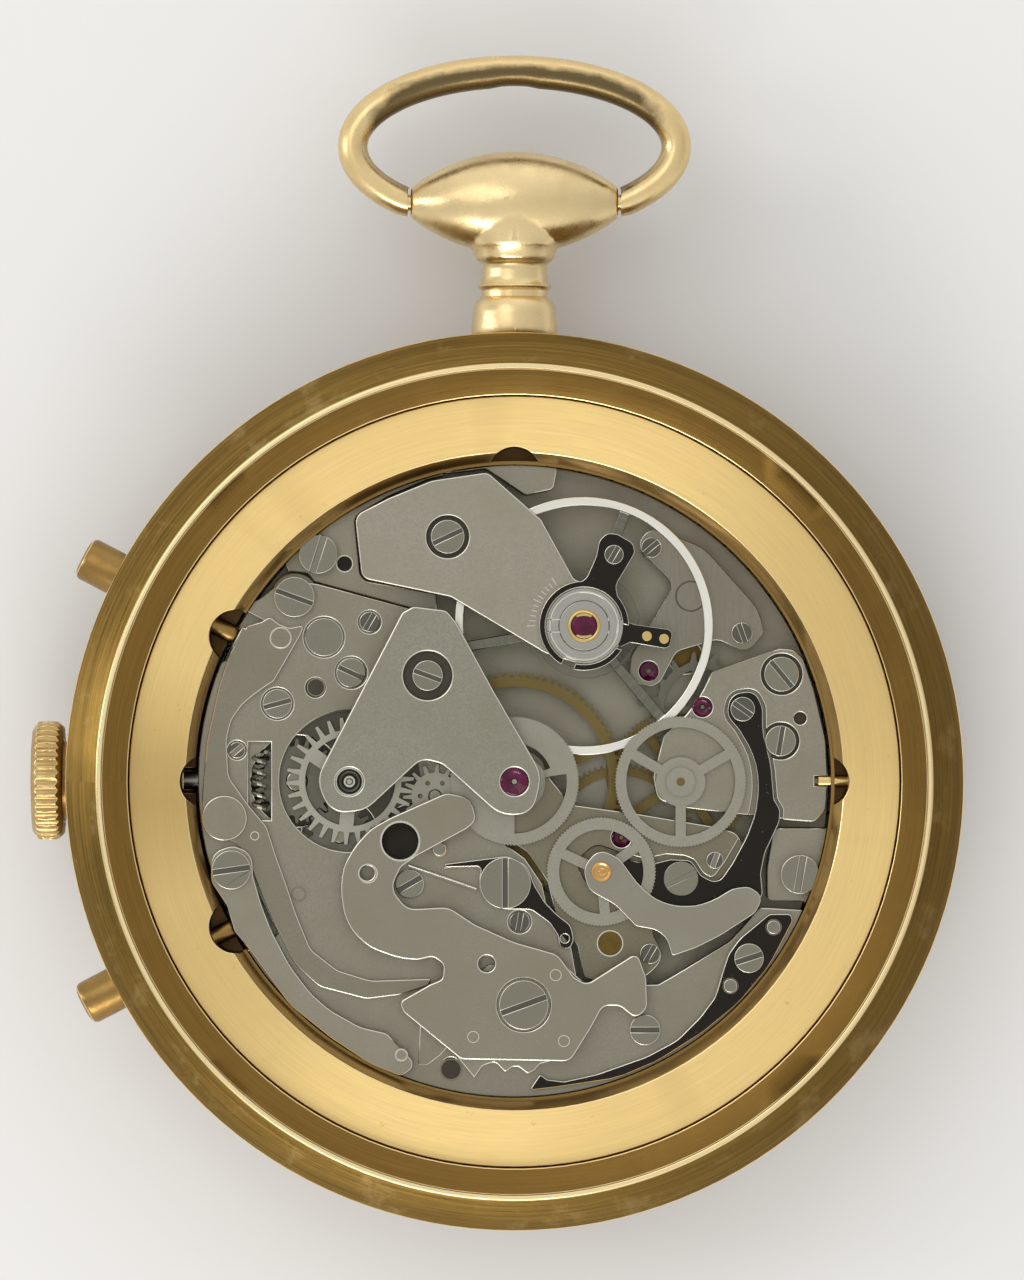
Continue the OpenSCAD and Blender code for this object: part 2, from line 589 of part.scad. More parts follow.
module round_in(r = plate_r) intersection() {
    disc(CENTER, z_train - 1, through, r, $fn = 120);
    children();
}

// Feet that stand a bridge on the mainplate: [x, y, radius]
module feet(list) for (f = list) rod(f, z_train, z_bridge + 0.1, f[2]);

LEFT_FEET = [[-10.7, 8.95, 1.2], [-7.95, 6.9, 1.3], [-4.4, 5.7, 1], [-13.1, -5, 0.9], [-9.3, -10.6, 1.1],
    [0.45, -12.6, 1.3],
    [7.8, -11.9, 1], [12, -7.7, 0.9], [-12.2, 4.6, 1]];
CENTER_FEET = [[5.2, -8.6, 0.9], [9.9, -3.9, 0.65]];
TRAIN_FEET = [[12.9, 4.6, 1.2], [13.9, -0.4, 1]];

module barrel_bridge() color(nickel) {
    difference() {
        union() {
            round_in() plate(LEFT_BRIDGE, z_bridge, barrel_bridge_t);
            feet(LEFT_FEET);
        }
        barrel_bridge_cuts();
    }
    rod(SLIDING, z_lever_plate - 0.02, z_deck + 0.05, 0.3);
}

module barrel_bridge_cuts() {
    rod(BALANCE, z_train + 0.1, through, balance_d / 2 + 0.3);
    rod(BARREL, z_bridge - 1, through, arbor_r + run);
    rod(BARREL, z_winding - 0.05, through, ratchet_tip + 0.15);
    rod(CROWN_WHEEL, z_bridge - 1, through, crown_wheel_tip + 0.12);
    rod(TRANSMISSION, z_winding - 0.05, through, transmission_tip + 0.15);
    translate([-pinion_x1 - 0.15, -1.15, z_bridge - 1]) cube([pinion_x1 - pinion_x0 + 0.3, 2.3, 1.3]);
    rod(MINUTE, z_bridge - 1, through, 0.13 + run);
    push_notches();
    lever_screw_holes();
}

// The holes of the screws in the plate under the levers
module lever_screw_holes() {
    for (s = LEVER_SCREWS) {
        shank_hole(s, lever_seat, s[2], 1.2);
        rod(s, lever_seat, through, s[2] + 0.06);
    }
    rod(COVER_DISC, lever_seat, through, COVER_DISC[2] + 0.06);
    shank_hole(SHOULDER_SCREW, z_deck, SHOULDER_SCREW[2], 1.4);
    for (s = PIVOT_SCREWS) shank_hole(s, z_deck, s[3], lever_plate_t);
    shank_hole(TOP_SCREW, z_back - screw_sink, TOP_SCREW[2], top_shank + 0.1);
    for (s = CASE_SCREWS) rod(s, z_train, through, case_screw_r + 0.15);
}

// Room at the plate's edge for the tips of the pushers and the tabs of the levers
module push_notches() for (s = [-1, 1])
    rotate(180 + s * pusher_angle) translate([13.6, -1.3, z_push - 0.6]) cube([3, 2.6, 4]);

minute_well_r = minute_wheel_d / 2 + 0.35;
sliding_r = 1.55;

// Screws of the plate under the levers: [x, y, head radius, slot angle]
LEVER_SCREWS = [[-7.05, 7.74, 0.5, 60], [-7.95, 5.27, 0.72, -25],
    [-11.54, 3.76, 0.72, 15], [0.25, -6.85, 0.5, 80], [-13.5, 1.5, 0.4, 40]];
SHOULDER_SCREW = [-10.7, 8.95, 0.98];
COVER_DISC = [-9.27, 7, 0.93];
sunk = 0.2;
lever_seat = z_deck - sunk + 0.02;

// A land under the cam's left side, just clear of the levers
CAM_LAND = [[-4.6, -11.6, 0.1], [-4.7, -13.85, 0.15], [-4.25, -13.85, 0.5], [-3.6, -13.35, 0.4],
    [-3.2, -12.9, 0.2], [-3.2, -11.6, 0.1]];

module lever_plate() color(nickel) {
    difference() {
        union() {
            lever_plate_blank();
            rod(CROWN_WHEEL, z_bridge + 0.05, z_deck, 0.5);
            rod(TRANSMISSION, z_winding, z_deck - 0.1, 0.35);
        }
        rod(MINUTE, z_lever_plate, through, minute_well_r);
        rod(SLIDING, z_lever_plate, through, sliding_r + 0.25);
    }
    plate(CAM_LAND, z_deck - 0.1, 0.16);
    rod(OPERATING, z_deck, z_a + lever_t + 0.05, 0.5);
    disc(OPERATING, z_a + lever_t + 0.05, 0.15, 1.1);
}

module lever_plate_blank() difference() {
    round_in() plate(LEFT_BRIDGE, z_lever_plate, lever_plate_t);
    rod(BALANCE, z_train, through, balance_d / 2 + 0.3);
    rod(MINUTE, z_lever_plate - 1, through, minute_well_r);
    rod(SLIDING, z_lever_plate - 1, through, sliding_r + 0.25);
    translate([-12.95, -1.9, z_lever_plate - 1]) cube([1.1, 3.8, 3]);
    rod([-9.69, 4.54], z_lever_plate - 1, through, 0.48);
    rod([-3.1, -13.85], z_lever_plate - 1, through, 0.4);
    push_notches();
    lever_screw_holes();
}

module center_bridge() color(nickel) difference() {
    union() {
        plate(CENTER_BRIDGE, z_bridge, z_deck - z_bridge);
        feet(CENTER_FEET);
    }
    rod(CENTER, z_train, through, tube_center_r + run);
    rod(THIRD, z_train, z_deck - 0.3, 0.2);
    rod(THIRD, z_deck - 0.3, through, jewel_d / 2);
    clutch_pocket();
    rod([4.65, -7.9], z_bridge + 0.5, through, 0.6);
    rod(BALANCE, z_train, through, balance_d / 2 + 0.3);
    for (s = CENTER_SCREWS) shank_hole(s, z_deck, s[2], 1.4);
}

CENTER_SCREWS = [[9.75, -3.85, 0.42, 70], [6.6, -8.4, 0.5, 60]];

module train_bridge() color(nickel) difference() {
    union() {
        plate(TRAIN_BRIDGE, z_bridge, z_deck - z_bridge);
        feet(TRAIN_FEET);
        rod(CLUTCH, clutch_z - 0.1, clutch_z + clutch_t + lever_gap, clutch_stud_r);
    }
    rod(BALANCE, z_train, through, balance_d / 2 + 0.3);
    for (p = [FOURTH, ESCAPE]) {
        rod(p, z_train, through, 0.26);
        rod(p, z_deck - 0.3, through, jewel_d / 2);
    }
    difference() {
        clutch_pocket();
        rod(CLUTCH, z_bridge, clutch_z + clutch_t + lever_gap, clutch_stud_r);
    }
    for (s = TRAIN_SCREWS) {
        shank_hole(s, z_deck - 0.25, s[2], 1.4);
        rod(s, z_deck - 0.25, through, s[2] + 0.15);
    }
    rod([13.9, 3.05], z_deck - 0.4, through, 0.3);
    radial(0, z_push, plate_r - 0.8, ring_r + 1, pin_r + run);
}

TRAIN_SCREWS = [[12.95, 1.95, 0.75, 80], [13, 5.2, 0.85, 130]];

PALLET_COCK = [[5.7, 6.1, 0.8], [5.55, 4.9, 0.8], [6.9, 4.4, 0.8], [7.9, 6.3, 0.6], [9.9, 6.9, 0.8], [11.4, 6.2, 0.7],
    [12.2, 7.3, 0.6], [11.9, 8.4, 2], [9.2, 11.4, 2], [6.6, 12.4, 0.8], [5.9, 11.4, 0.7], [7.8, 9.6, 0.6]];
PALLET_FEET = [[11.1, 7.3, 0.8], [6.9, 11.4, 0.75]];
pallet_cock_z = z_escape + 0.24;
pallet_cock_t = 0.2;
PALLET_SCREWS = [[6.68, 11.37, 0.5, 40], [11.1, 7.2, 0.52, 110]];

module pallet_cock() color(nickel) difference() {
    union() {
        plate(PALLET_COCK, pallet_cock_z, pallet_cock_t);
        for (f = PALLET_FEET) rod(f, z_train, pallet_cock_z + 0.05, f[2]);
    }
    rod(PALLET, z_train, through, jewel_d / 2);
    for (s = PALLET_SCREWS) shank_hole(s, pallet_cock_z + pallet_cock_t, s[2], 1);
}

// Balance cock, with the shock setting, regulator and stud carrier on it

COCK_FOOT = [[-7.75, 12.9, 0.6], [-6.1, 13.75, 1], [-4, 14.6, 1], [-1.3, 15, 0.5], [-0.9, 14, 0.5], [-2.6, 12],
    [-3.6, 9.2], [-7.4, 9.85, 0.5]];
COCK_ARM = [[-7.75, 12.9, 0.6], [-6.1, 13.75, 1], [-4, 14.6, 1], [-1.3, 15, 0.5], [1.3, 12.7, 0.5], [2.9, 9.8, 0.4],
    [4.9, 9.2, 1.4], [5.4, 7, 1.6], [4.2, 5.4, 1.6], [1.6, 6.15, 1.6], [-3.1, 8.95, 0.4], [-7.4, 9.85, 0.5]];
COCK_SCREW = [-3.24, 11.87, 0.82, 25];
cock_top = z_back - 0.25;
cock_arm_z = cock_top - 0.8;
screw_sink = 0.35;
cock_shank = cock_top - screw_sink - z_train - 1;
ring_in = 1.87;
ring_out = 2.18;

module balance_cock() color(nickel) difference() {
    union() {
        difference() {
            plate(COCK_FOOT, z_train, cock_top - z_train);
            rod(BALANCE, z_train - 1, through, balance_d / 2 + 0.3);
        }
        plate(COCK_ARM, cock_arm_z, 0.8);
    }
    rod(BALANCE, z_train, through, 0.95);
    rod(COCK_SCREW, cock_top - screw_sink, through, 1.03);
    shank_hole(COCK_SCREW, cock_top - screw_sink, COCK_SCREW[2], cock_shank + 0.2);
}

module shock_setting() color(bright) difference() {
    union() {
        disc(BALANCE, cock_top - 0.7, 0.7, 0.95);
        disc(BALANCE, cock_top, 0.22, 1.2);
    }
    rod(BALANCE, cock_top, through, 0.72);
    rod(BALANCE, z_train, through, staff_r + run);
}

regulator_z = cock_top + 0.02;
REGULATOR_ARM = [[5.1, 7.9, 0.2], [5.8, 7.62, 0.2], [7.7, 7.35, 0.3], [7.5, 6.42, 0.3], [5.6, 6.75, 0.2],
    [4.9, 6.4, 0.2]];
STUD_ARM = [[2.6, 9.2, 0.2], [3.5, 9.9, 0.5], [3.95, 10.9, 1], [4.1, 11.7, 0.6], [4.5, 12.05, 0.4], [5, 12, 0.4],
    [5.75, 11.55, 0.4], [5.85, 11.1, 0.4], [5.5, 10.5, 0.6], [4.9, 9.5, 0.6], [5.1, 8.6, 0.2]];

module regulator() color(bright) {
    difference() {
        union() {
            disc(BALANCE, regulator_z, 0.12, ring_in - 0.04);
            plate(REGULATOR_ARM, regulator_z, 0.12);
        }
        rod(BALANCE, z_train, through, 1.2 + run);
        translate([BALANCE.x - 1.9, BALANCE.y - 0.3, regulator_z - 1]) cube([0.75, 0.06, 2]);
        translate([BALANCE.x - 1.9, BALANCE.y + 0.26, regulator_z - 1]) cube([0.75, 0.06, 2]);
    }
    for (p = [[6.42, 7.05], [7.25, 6.92]]) rod(p, regulator_z + 0.12, regulator_z + 0.22, 0.24);
}

module stud_carrier() color(black_steel) difference() {
    union() {
        disc(BALANCE, regulator_z + 0.16, 0.14, ring_out);
        plate(STUD_ARM, regulator_z + 0.16, 0.14);
        rod([4.82, 11], cock_arm_z, regulator_z + 0.16, 0.25);
    }
    rod(BALANCE, z_train, through, ring_in);
    at(BALANCE, regulator_z) rotate(-112) translate([1.5, -0.3, 0]) cube([1, 0.6, 1]);
    at(BALANCE, regulator_z) rotate(-16) translate([1.5, -0.6, 0]) cube([1, 1.2, 1]);
}

// Chronograph bridge

TOP_BRIDGE = [[-5.45, 8.2, 0.4], [-4.9, 8.5, 0.4], [-3.3, 8.3, 0.4], [-2.8, 7.7, 0.5], [-1, 4.4], [1.35, 0.35, 1.5],
    [0.9, -1.6, 1.5], [-0.7, -1.65, 1.5], [-3.5, 0.85, 0.8], [-4.5, 1.1, 0.8], [-7.2, -1.4, 1.5],
    [-8.9, -1.6, 1.5], [-9.65, 0.1, 1.5]];
TOP_SCREW = [-4.21, 5.14, 0.74, -20];
top_shank = z_back - screw_sink - z_bridge - 0.3;
minute_bearing_r = 0.68;
ruby_r = 0.68;

module chronograph_bridge() color(nickel) difference() {
    union() {
        plate(TOP_BRIDGE, z_top, top_bridge_t);
        rod(TOP_SCREW, z_deck, z_top + 0.1, 1.35);
        rod([-4.3, 7.55], z_deck, z_top + 0.1, 0.6);
    }
    rod(TOP_SCREW, z_back - screw_sink, through, 1.18);
    shank_hole(TOP_SCREW, z_back - screw_sink, TOP_SCREW[2], top_shank + 0.1);
    rod(CENTER, z_top - 1, through, 0.17);
    rod(CENTER, z_back - 0.35, through, ruby_r);
    rod(MINUTE, z_top - 1, through, 0.17);
    rod(MINUTE, z_back - 0.35, through, minute_bearing_r);
}

// Screws that hold the plates, bridges and levers; each is a solid of its own
module bridge_screws() color(bright) {
    screw(TOP_SCREW, z_back - screw_sink, TOP_SCREW[2], screw_sink, TOP_SCREW[3], top_shank);
    screw(COCK_SCREW, cock_top - screw_sink, COCK_SCREW[2], screw_sink, COCK_SCREW[3], cock_shank);
    for (s = CASE_SCREWS) screw(s, land_z, case_screw_r, 0.75, s[2], 1.4, 0.3);
    for (s = LEVER_SCREWS) screw(s, lever_seat, s[2], sunk, s[3], 1);
    disc(COVER_DISC, lever_seat, sunk, COVER_DISC[2]);
    screw(SHOULDER_SCREW, z_deck, SHOULDER_SCREW[2], 0.45, -20, 1.2);
    for (s = CENTER_SCREWS) screw(s, z_deck, s[2], 0.22, s[3], 1.2);
    for (s = TRAIN_SCREWS) screw(s, z_deck - 0.25, s[2], 0.25, s[3], 1.2);
    for (s = PALLET_SCREWS) screw(s, pallet_cock_z + pallet_cock_t, s[2], 0.2, s[3], 0.9);
    for (s = PIVOT_SCREWS) screw(s, s[2], s[3], 0.3, s[4], s[2] - z_lever_plate - 0.02, 0.24);
    screw(CLUTCH, clutch_z + clutch_t + lever_gap, 0.6, 0.3, -35, 0.02);
    for (p = [[12.6, -7.1], [10.5, -9.95], [-3.65, -3.3]]) rod(p, z_deck, z_a + lever_t + 0.1, 0.33);
    screw([4.82, 11], regulator_z + 0.3, 0.47, 0.2, 60, 0.02);
    difference() {
        disc(MINUTE, z_back - 0.35, 0.35, minute_bearing_r);
        rod(MINUTE, z_top, through, runner_r + run);
    }
}

// Screws that levers and springs are held by: [x, y, height of the seat, head radius, slot angle]
PIVOT_SCREWS = [
    [HAMMER.x, HAMMER.y, z_hammer + hammer_t - 0.15, 1.2, 20],
    [BLOCKING.x, BLOCKING.y, z_a + lever_t + lever_gap, 1.25, 90],
    [FLY_BACK.x, FLY_BACK.y, z_b + lever_t + lever_gap / 2, 0.95, 8],
    [11.4, -8.6, z_a + lever_t, 0.72, 18],
    [6.35, -12.1, z_deck, 0.75, 0],
    [-5.1, -5, z_deck, 0.7, 30],
];

pivot_r = 0.1;
fourth_r = 0.2;
staff_r = 0.12;
runner_r = 0.12;

// Rubies: [x, y, lower face, height, radius, bore radius]
JEWELS = [
    [ESCAPE.x, ESCAPE.y, z_deck - 0.3, 0.3, jewel_d / 2, pivot_r + run],
    [THIRD.x, THIRD.y, z_deck - 0.3, 0.3, jewel_d / 2, pivot_r + run],
    [FOURTH.x, FOURTH.y, z_deck - 0.3, 0.3, jewel_d / 2, fourth_r + run],
    [PALLET.x, PALLET.y, pallet_cock_z, pallet_cock_t, jewel_d / 2, pivot_r + run],
    [ESCAPE.x, ESCAPE.y, z_train - 0.4, 0.3, jewel_d / 2, pivot_r + run],
    [THIRD.x, THIRD.y, z_train - 0.4, 0.3, jewel_d / 2, pivot_r + run],
    [FOURTH.x, FOURTH.y, z_train - 0.4, 0.3, jewel_d / 2, fourth_r + run],
    [PALLET.x, PALLET.y, z_train - 0.4, 0.3, jewel_d / 2, pivot_r + run],
    [BALANCE.x, BALANCE.y, z_plate + 0.5, 0.4, 0.6, staff_r + run],
    [CENTER.x, CENTER.y, z_back - 0.35, 0.35, ruby_r, runner_r + run],
];

module jewels() color(ruby) {
    for (j = JEWELS)
        difference() {
            disc(j, j[2], j[3], j[4]);
            rod(j, j[2] - 1, j[2] + 2, j[5]);
        }
    disc(BALANCE, cock_top, 0.15, 0.7);
}

// Springs that hold the levers

JUMPER = [[12.4, -6.45, 0.3], [13.45, -6.45, 0.3], [13.55, -6.8, 0.3], [12.4, -9, 3], [10.9, -10.8, 3],
    [9.2, -12.2, 3],
    [7, -13.6, 3], [5, -14.45, 3], [2, -14.9, 1], [0.7, -15.05, 0.1], [1, -14.6, 0.1], [1.25, -14.25, 0.1],
    [1.6, -14.5, 0.2],
    [2.4, -14.6, 0.3], [4, -14.25, 2], [6.4, -13.4, 2], [7.9, -12.6, 2], [9, -11.5, 1.5], [9.75, -10.5, 1],
    [10.1, -9.3, 1], [10.4, -8.4, 1], [10.9, -7.7, 1]];

module cam_jumper() color(black_steel) difference() {
    plate(JUMPER, z_a, lever_t);
    for (p = [[11.4, -8.6, 0.35], [12.6, -7.1, 0.34], [10.5, -9.95, 0.34]]) rod(p, z_deck, through, p[2]);
}

spring_t = 0.12;
WIRE_SPRING = [[-5.2, -4.18], [-1.85, -5.33], [-1.8, -5.19], [-5.15, -4.04]];
spring_coils = 5;
spring_wire_r = 0.1;
spring_r = 0.3;
spring_l = 2.8;
coil_steps = 10;
coil_sides = 6;

function coil_point(i, j) =
    let (a = i * 360 / coil_steps, b = j * 360 / coil_sides, r = spring_r + spring_wire_r * cos(b))
    [-12.4 + r * cos(a), -spring_l / 2 + i * spring_l / (spring_coils * coil_steps) + spring_wire_r * sin(b),
        z_deck + 0.02 + r * sin(a)];

module lever_springs() color(bright) {
    plate(WIRE_SPRING, z_deck, 0.25, 0);
    rings = spring_coils * coil_steps + 1;
    polyhedron([for (i = [0 : rings - 1]) for (j = [0 : coil_sides - 1]) coil_point(i, j)], skin(rings, coil_sides));
}

// Winding work and barrel

arbor_r = 0.45;
ratchet_pitch = 3.6;
ratchet_tip = ratchet_pitch + 0.2;
transmission_pitch = 1.5;
transmission_tip = transmission_pitch + 0.2;
crown_wheel_pitch = 1.9;
crown_wheel_tip = crown_wheel_pitch + 0.2;
crown_to_transmission = angle_to(CROWN_WHEEL, TRANSMISSION);
transmission_to_ratchet = angle_to(TRANSMISSION, BARREL);
transmission_phase = mate(0, crown_wheel_teeth, transmission_teeth, crown_to_transmission);
ratchet_phase = mate(transmission_phase, transmission_teeth, ratchet_teeth, transmission_to_ratchet);

module barrel() color(brass) difference() {
    union() {
        disc(BARREL, z_plate + 0.7, 1.7, barrel_r);
        at(BARREL, z_train + 0.3) linear_extrude(0.3)
            polygon(gear(barrel_teeth, barrel_tip, barrel_pitch - 0.15, angle_to(BARREL, CENTER) + 180 / barrel_teeth));
    }
    rod(BARREL, z_plate, through, arbor_r + run);
    rod(BARREL, z_plate + 0.9, z_plate + 2.1, barrel_r - 0.3);
}

module ratchet_wheel() color(bright) {
    at(BARREL, z_winding) linear_extrude(winding_t) polygon(gear(ratchet_teeth, ratchet_pitch + 0.17, ratchet_pitch - 0.2, ratchet_phase));
    rod(BARREL, z_plate + 0.66, z_winding + 0.05, arbor_r);
}

module crown_wheel() color(bright) difference() {
    union() {
        at(CROWN_WHEEL, z_winding - 0.1) linear_extrude(winding_t + 0.1)
            polygon(gear(crown_wheel_teeth, crown_wheel_pitch + 0.17, crown_wheel_pitch - 0.2));
        at(CROWN_WHEEL, z_bridge + 0.05) linear_extrude(0.3) difference() {
            polygon(gear(crown_wheel_teeth, crown_wheel_pitch, crown_wheel_pitch - 0.25));
            circle(crown_wheel_pitch - 0.35);
        }
    }
    rod(CROWN_WHEEL, z_train, through, 0.5 + run);
}

module transmission_wheel() color(bright) difference() {
    at(TRANSMISSION, z_winding) linear_extrude(winding_t)
        polygon(gear(transmission_teeth, transmission_pitch + 0.17, transmission_pitch - 0.2, transmission_phase));
    rod(TRANSMISSION, z_train, through, 0.35 + run);
}

// Going train

third_pitch = pitch(third_leaves, center_teeth, norm(THIRD));
center_pitch = norm(THIRD) - third_pitch;
third_to_fourth = norm(FOURTH - THIRD);
third_wheel_pitch = pitch(third_teeth, fourth_leaves, third_to_fourth);
fourth_leaf_pitch = third_to_fourth - third_wheel_pitch;
fourth_to_escape = norm(ESCAPE - FOURTH);
fourth_pitch = pitch(fourth_teeth, escape_leaves, fourth_to_escape);
escape_leaf_pitch = fourth_to_escape - fourth_pitch;

module center_wheel() color(brass) difference() {
    union() {
        at(CENTER, z_center) linear_extrude(wheel_t)
            spoked(gear(center_teeth, center_pitch + 0.11, center_pitch - 0.16, angle_to(CENTER, THIRD)), 4.6, 1.2, 4, 0.6, 20);
        at(CENTER, z_train + 0.1) linear_extrude(z_center - z_train - 0.05)
            polygon(gear(center_leaves, center_pinion_pitch + 0.1, center_pinion_pitch - 0.16, angle_to(CENTER, BARREL)));
        rod(CENTER, z_dial - 1.1, z_deck - 0.1, tube_center_r);
    }
    rod(CENTER, 0, through, runner_r + run);
}

module third_wheel() color(brass) {
    at(THIRD, z_third) linear_extrude(wheel_t)
        spoked(gear(third_teeth, third_wheel_pitch + 0.08, third_wheel_pitch - 0.12, angle_to(THIRD, FOURTH)), 3, 0.8, 4, 0.45, 10);
    at(THIRD, z_center - 0.1) linear_extrude(wheel_t + 0.2) polygon(
        gear(third_leaves, third_pitch + 0.09, third_pitch - 0.14, angle_to(THIRD, CENTER) + 180 / third_leaves));
    rod(THIRD, z_train - 0.35, z_deck - 0.05, pivot_r);
    rod(THIRD, z_train + 0.05, z_bridge - 0.05, 0.25);
}

module fourth_wheel() color(brass) {
    at(FOURTH, z_fourth) linear_extrude(wheel_t)
        spoked(gear(fourth_teeth, fourth_pitch + 0.08, fourth_pitch - 0.11, angle_to(FOURTH, ESCAPE)), 2.9, 0.8, 4, 0.45, 35);
    at(FOURTH, z_third - 0.1) linear_extrude(wheel_t + 0.2) polygon(
        gear(fourth_leaves, fourth_leaf_pitch + 0.08, fourth_leaf_pitch - 0.12, angle_to(FOURTH, THIRD) + 180 / fourth_leaves));
    rod(FOURTH, z_dial - 0.3, z_wheel + 0.45, fourth_r);
    rod(FOURTH, z_third, z_bridge - 0.1, 0.28);
}

driving_r = driving_d / 2;
driving_phase = angle_to(FOURTH, COUPLING);

module driving_wheel() color(bright) difference() {
    union() {
        at(FOURTH, z_wheel) linear_extrude(chrono_t)
            spoked(fine_gear(driving_teeth, driving_r, driving_r - 0.07, driving_phase), 2.65, 1.2, 3, 0.5, 30);
        disc(FOURTH, z_wheel - 0.1, 0.5, 0.7);
    }
    rod(FOURTH, z_train, through, fourth_r);
}

module escape_wheel() color(steel) {
    at(ESCAPE, z_escape) linear_extrude(wheel_t) difference() {
        polygon([for (i = [0 : escape_teeth - 1]) each
            [polar(2.2, i * 24), polar(2.7, i * 24 + 1), polar(2.68, i * 24 + 4), polar(2.25, i * 24 + 9)]]);
        difference() {
            circle(1.85);
            circle(0.65);
            for (a = [0, 90]) rotate(a + 10) square([5, 0.35], center = true);
        }
    }
    at(ESCAPE, z_fourth - 0.1) linear_extrude(wheel_t + 0.25) polygon(
        gear(escape_leaves, escape_leaf_pitch + 0.08, escape_leaf_pitch - 0.12, angle_to(ESCAPE, FOURTH) + 180 / escape_leaves));
    rod(ESCAPE, z_train - 0.35, z_deck - 0.05, pivot_r);
}

// Pallet fork: its stones stand just outside the tips of the escape wheel's teeth
fork_dir = angle_to(PALLET, BALANCE);
fork_l = norm(BALANCE - PALLET);
pin_reach = 0.62;

module pallet_fork() color(steel) {
    difference() {
        union() {
            at(PALLET, z_escape) rotate(fork_dir) linear_extrude(wheel_t) difference() {
                polygon([[0, -0.3], [1.5, -0.16], [fork_l - pin_reach - 0.5, -0.2], [fork_l - pin_reach + 0.05, -0.42],
                    [fork_l - pin_reach + 0.05, 0.42], [fork_l - pin_reach - 0.5, 0.2], [1.5, 0.16], [0, 0.3]]);
                translate([fork_l - pin_reach - 0.3, -0.17]) square([1, 0.34]);
            }
            for (s = [-1, 1])
                at(PALLET, z_escape) linear_extrude(wheel_t) hull() {
                    circle(0.4, $fn = 32);
                    translate(ESCAPE + polar(2.98, angle_to(ESCAPE, PALLET) + s * 30) - PALLET) circle(0.2, $fn = 32);
                }
        }
        rod(ESCAPE, z_train, through, 2.86);
    }
    rod(PALLET, z_train - 0.35, pallet_cock_z + 0.15, pivot_r);
}

balance_r = balance_d / 2;

module balance_wheel() color(bright) {
    difference() {
        disc(BALANCE, z_balance, balance_h, balance_r, $fn = 96);
        rod(BALANCE, z_train, through, balance_r - balance_rim_w, $fn = 96);
    }
    difference() {
        union() {
            for (a = [40, 160, 280])
                at(BALANCE, z_balance + 0.35) rotate(a) translate([0, -0.25, 0]) cube([balance_r - 0.2, 0.5, 0.2]);
            disc(BALANCE, z_balance + 0.3, 0.3, 0.7);
        }
    }
    rod(BALANCE, z_plate + 0.55, cock_top - 0.05, staff_r);
    disc(BALANCE, z_escape + 0.25, 0.15, 0.8);
    rod(BALANCE, z_escape + 0.3, z_balance + 0.3, 0.25);
    at(BALANCE) rotate(fork_dir + 180) translate([pin_reach, 0, z_escape]) cylinder(h = 0.3, r = 0.1);
}

spiral_in = 0.5;
spiral_pitch = 0.46;
spiral_w = 0.05;
spiral_steps = 24;
function spiral(a, side) = polar(spiral_in + spiral_pitch * a / 360 + side * spiral_w / 2, a + 100);
echo(least_gap_of_the_balance_spring = spiral_pitch - spiral_w);

module balance_spring() color([0.25, 0.3, 0.55])
    at(BALANCE, z_balance + balance_h + 0.35) linear_extrude(0.18) polygon(concat(
        [for (i = [0 : spiral_turns * spiral_steps]) spiral(i * 360 / spiral_steps, 1)],
        [for (i = [spiral_turns * spiral_steps : -1 : 0]) spiral(i * 360 / spiral_steps, -1)]));

// Motion work and hands, under the dial side of the mainplate

motion_phase = mate(90 + 180 / cannon_teeth, cannon_teeth, motion_teeth, 90);

module cannon_pinion() color(steel) difference() {
    union() {
        rod(CENTER, minute_hand_z, z_plate + 0.45, cannon_r);
        at(CENTER, z_plate + 0.26) linear_extrude(0.19)
            polygon(gear(cannon_teeth, cannon_pitch + 0.12, cannon_pitch - 0.18, 90 + 180 / cannon_teeth));
    }
    rod(CENTER, 0, through, tube_center_r);
}

module minute_wheel() color(brass) difference() {
    union() {
        at(MOTION, z_plate + 0.26) linear_extrude(0.16)
            polygon(gear(motion_teeth, motion_pitch + 0.12, motion_pitch - 0.17, motion_phase));
        at(MOTION, z_motion) linear_extrude(0.3)
            polygon(gear(motion_leaves, motion_leaf_pitch + 0.1, motion_leaf_pitch - 0.17, 0));
    }
    rod(MOTION, z_dial, through, 0.3 + run);
}

module hour_wheel() color(brass) difference() {
    union() {
        at(CENTER, z_motion) linear_extrude(0.15)
            polygon(gear(hour_teeth, hour_pitch + 0.1, hour_pitch - 0.16, mate(0, motion_leaves, hour_teeth, -90)));
        rod(CENTER, hour_hand_z, z_motion + 0.1, hour_pipe_r);
    }
    rod(CENTER, 0, through, cannon_r + run);
}

chrono_hand_z = crystal_t + 0.45;
minute_hand_z = crystal_t + 0.85;
hour_hand_z = crystal_t + 1.25;
small_hand_z = crystal_t + 1.65;
hand_t = 0.12;

// A leaf-shaped hand with its eye on p, pointing along dir
module hand(p, z, length, width, eye, bore, dir, tail = 0)
    at(p, z) rotate(dir) linear_extrude(hand_t) difference() {
        union() {
            polygon([[0, -eye / 2], [length * 0.5, -width / 2], [length, 0], [length * 0.5, width / 2], [0, eye / 2]]);
            circle(eye);
            if (tail > 0) translate([-tail, -width / 2]) square([tail, width]);
        }
        circle(bore);
    }

module hour_hand() color(black_steel) hand(CENTER, hour_hand_z, dial_r - 7.9, 0.9, 1.3, hour_pipe_r, 150);
module minute_hand() color(black_steel) hand(CENTER, minute_hand_z, dial_r - 3.5, 0.7, 1, cannon_r, 35);
module chronograph_hand() color([0.6, 0.1, 0.08]) hand(CENTER, chrono_hand_z, dial_r - 2.5, 0.25, 0.5, runner_r, 90, 3.5);
module small_seconds_hand() color(black_steel) hand(FOURTH, small_hand_z, 3.1, 0.25, 0.45, fourth_r, 60, 0.9);
module minute_counter_hand() color(black_steel) hand(MINUTE, small_hand_z, 3.1, 0.3, 0.45, runner_r, 90, 0.9);

